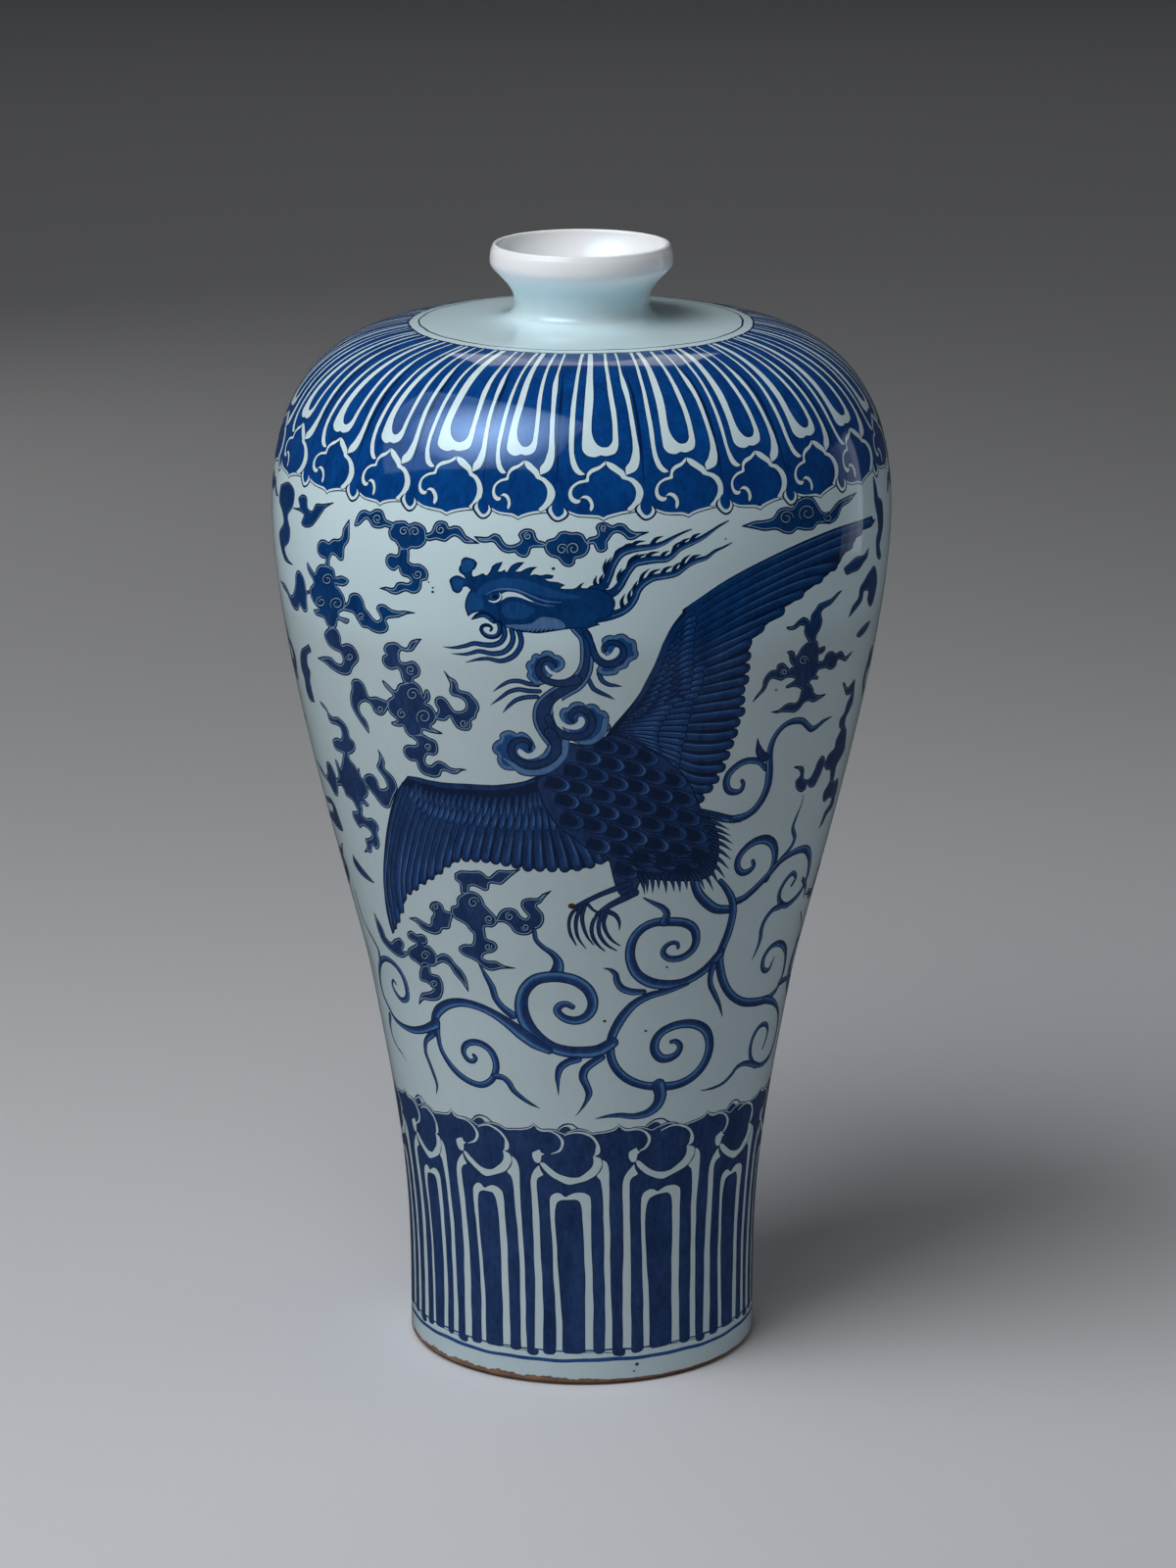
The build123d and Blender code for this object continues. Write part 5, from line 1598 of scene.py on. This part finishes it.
def turned(name, node, path, skinsOn):
    # a closed outline spun round the axis
    path = np.array(path)
    n = len(path)
    rings = [np.stack([path[:, 0] * sin(t), -path[:, 0] * cos(t), path[:, 1]], 1) for t in turnsIn]
    verts = np.concatenate(rings) * mm
    faces, mats, uvs, normals = [], [], [], []
    step = np.roll(path, -1, axis=0) - path
    size = np.hypot(*step.T)
    flatNormal = np.stack([step[:, 1], -step[:, 0]], 1) / np.maximum(size, 1e-9)[:, None]
    length = np.concatenate([[0], np.cumsum(size)]) / size.sum()
    for k in range(n):
        last, here, after = flatNormal[k - 1], flatNormal[k], flatNormal[(k + 1) % n]
        ends = []
        for other in (last, after):
            soft = other @ here > cos(radians(softTurn))
            m = (other + here) if soft else here
            ends.append(m / np.hypot(*m))
        if size[k] < 1e-6:
            continue
        for i in range(columnsIn):
            j = (i + 1) % columnsIn
            kk = (k + 1) % n
            faces.append([i * n + k, j * n + k, j * n + kk, i * n + kk])
            mats.append(skinsOn[k] if isinstance(skinsOn, list) else skinsOn)
            ta, tb = turnsIn[i], turnsIn[i] + 2 * pi / columnsIn
            for t, e in ((ta, ends[0]), (tb, ends[0]), (tb, ends[1]), (ta, ends[1])):
                normals.append((e[0] * sin(t), -e[0] * cos(t), e[1]))
            u0, u1 = (ta + pi) / (2 * pi), (tb + pi) / (2 * pi)
            uvs.extend([(u0, length[k]), (u1, length[k]), (u1, length[k + 1]), (u0, length[k + 1])])
    finishPiece(name, verts, faces, mats, normals, uvs, node)


def outerAtRadius(r):
    return (r, np.interp(-r, -wallOut[topOut:, 0], wallOut[topOut:, 1]))


outNeck = np.vstack([wallOut[topOut:][wallOut[topOut:, 0] < joint["neckIn"]], lipOut[1:]])
inNeck = cupIn[1:]
inNeck = inNeck[inNeck[:, 0] < joint["neckIn"] - 0.01]
neckPath = np.vstack([[outerAtRadius(joint["neckIn"])], outNeck, inNeck, [innerAt["neckIn"]]])
neckGlazePaintedLight = {"from": 535, "insideTo": 538}  # heights between which the neck's glaze with its painted top light lies
neckSkins = []
for k, (r, z) in enumerate(neckPath):
    inward = k > len(outNeck)
    if k == len(neckPath) - 1:
        neckSkins.append(luteSkin)
    elif inward and z < neckGlazePaintedLight["insideTo"]:
        neckSkins.append(innerSkin)
    else:
        neckSkins.append(neckSkin if z > neckGlazePaintedLight["from"] else whiteSkin)
turned("neck", "neck", neckPath, neckSkins)
slipPath = [outerAtRadius(joint["neckOut"]), outerAtRadius(joint["neckIn"]), innerAt["neckIn"],
            innerAt["neckOut"]]
turned("neckSlip", "neck_slip", slipPath, whiteSkin)
# the floor disc and its ring of slip; the axis is left open by a hair
floorDisc = {"low": 10.0, "high": q["floorEdge"][1], "axis": 0.01, "edge": 75.4, "slip": q["floorEdge"][0]}
low, high, axis, edge, slip = floorDisc.values()
slipOutline = [(slip, low), (slip, high), (edge, high), (edge, low)]
discOutline = [(axis, low), (edge, low), (edge, high), (axis, high)]
turned("baseSlip", "base_slip", slipOutline, luteSkin)
turned("baseDisc", "base_disc", discOutline, innerSkin)

# Floor, one wide sheet of grey paper
paper = {"half": 14.0, "ahead": 2.0, "grey": (0.70, 0.70, 0.7105, 1), "roughness": 0.9}


def layPaper():
    half, ahead = paper["half"], paper["ahead"]
    corners = [(-half, ahead - half, 0), (half, ahead - half, 0), (half, ahead + half, 0),
               (-half, ahead + half, 0)]
    mesh = bpy.data.meshes.new("studioFloor")
    mesh.from_pydata(corners, [], [(0, 1, 2, 3)])
    m = bpy.data.materials.new("studioPaper")
    m.use_nodes = True
    shader = m.node_tree.nodes["Principled BSDF"]
    shader.inputs["Base Color"].default_value = paper["grey"]
    shader.inputs["Roughness"].default_value = paper["roughness"]
    mesh.materials.append(m)
    o = bpy.data.objects.new("studioFloor", mesh)
    bpy.context.scene.collection.objects.link(o)
    o.visible_glossy = False


layPaper()
print("floor laid")

mirrorTint = (0.42, 0.64, 1.0)
# the tall bright screen at the right, three sheets from its far edge
tallScreen = {
    "far": Vector((1.096, 0.649, 0.42)), "side": Vector((0.477, -0.879, 0.0)), "aim": (0.13, -0.085, 0.45),
    "tint": (0.86, 0.95, 1.12), "sizes": ((0.34, 0.62), (0.22, 0.58), (0.10, 0.54)), "glow": 0.75,
}


def softbox(name, where, aim, size, power, spread=180.0, roll=0.0, colour=(1, 1, 1), lights=True):
    # a box either lights the vase or shows in its glaze
    data = bpy.data.lights.new(name, "AREA")
    data.shape = "RECTANGLE"
    data.size, data.size_y = size
    data.energy = power
    data.spread = radians(spread)
    data.color = colour
    o = bpy.data.objects.new(name, data)
    o.location = where
    turn = (Vector(aim) - Vector(where)).to_track_quat("-Z", "Y")
    o.rotation_euler = (turn @ Quaternion((0, 0, 1), radians(roll))).to_euler()
    o.visible_camera = False
    o.visible_glossy = not lights
    o.visible_diffuse = lights
    bpy.context.scene.collection.objects.link(o)


middleHeight = (0.0, 0.0, 0.4)
softbox("keyLight", (-0.837, -0.702, 1.752), middleHeight, (1.4, 1.3), 18.7)
softbox("keySide", (-0.627, -0.895, 1.752), middleHeight, (1.4, 1.3), 8.7)
softbox("fillLight", (2.067, 0.0, 1.202), middleHeight, (1.8, 1.5), 3.6)
softbox("sideStrip", (1.185, 0.487, 0.42), tallScreen["aim"], (0.36, 0.69), 0.56, colour=tallScreen["tint"])
softbox("floorWash", (0.0, 4.4, 2.6), (0.0, 4.4, 0.0), (5.0, 3.0), 2.5, spread=100.0)
softbox("backLight", (-1.3, 2.3, 1.2), (0.0, 0.0, 0.35), (1.4, 1.0), 4.0)
# the bright screens that the glaze mirrors
softbox("keyScreen", (-0.71, -0.70, 1.84), (0.087, -0.466, 1.282), (2.1, 1.65), 20.0, roll=28.0,
        colour=mirrorTint, lights=False)
softbox("keyHeart", (-0.71, -0.61, 1.70), (-0.04, -0.13, 0.58), (1.5, 1.4), 8.0, spread=54.0,
        colour=mirrorTint, lights=False)
for k, (wide, tall) in enumerate(tallScreen["sizes"]):
    where = tallScreen["far"] + tallScreen["side"] * (wide / 2)
    softbox(f"stripScreen{k}", where, tallScreen["aim"], (wide, tall), tallScreen["glow"] * wide * tall,
            colour=tallScreen["tint"], lights=False)
softbox("backScreen", (0.0, 1.5, 1.70), (0.0, 0.0, 0.53), (0.7, 0.45), 1.5, lights=False)
world = bpy.data.worlds.new("studioAir")
world.use_nodes = True
world.node_tree.nodes["Background"].inputs["Color"].default_value = (0.9, 0.95, 1.0, 1)
world.node_tree.nodes["Background"].inputs["Strength"].default_value = 0.03
bpy.context.scene.world = world
bpy.context.scene.view_settings.view_transform = "Standard"

lens = bpy.data.cameras.new("camera")
lens.sensor_fit = "VERTICAL"
lens.sensor_height = 36.0
lens.lens = view["focal"] / picture["tall"] * lens.sensor_height
lens.clip_end = 50.0
eye = bpy.data.objects.new("camera", lens)
eye.location = (view["side"] * mm, -view["back"] * mm, view["height"] * mm)
eye.rotation_euler = (pi / 2 - view["tip"], 0, 0)
bpy.context.scene.collection.objects.link(eye)
bpy.context.scene.camera = eye
print("camera and light set")
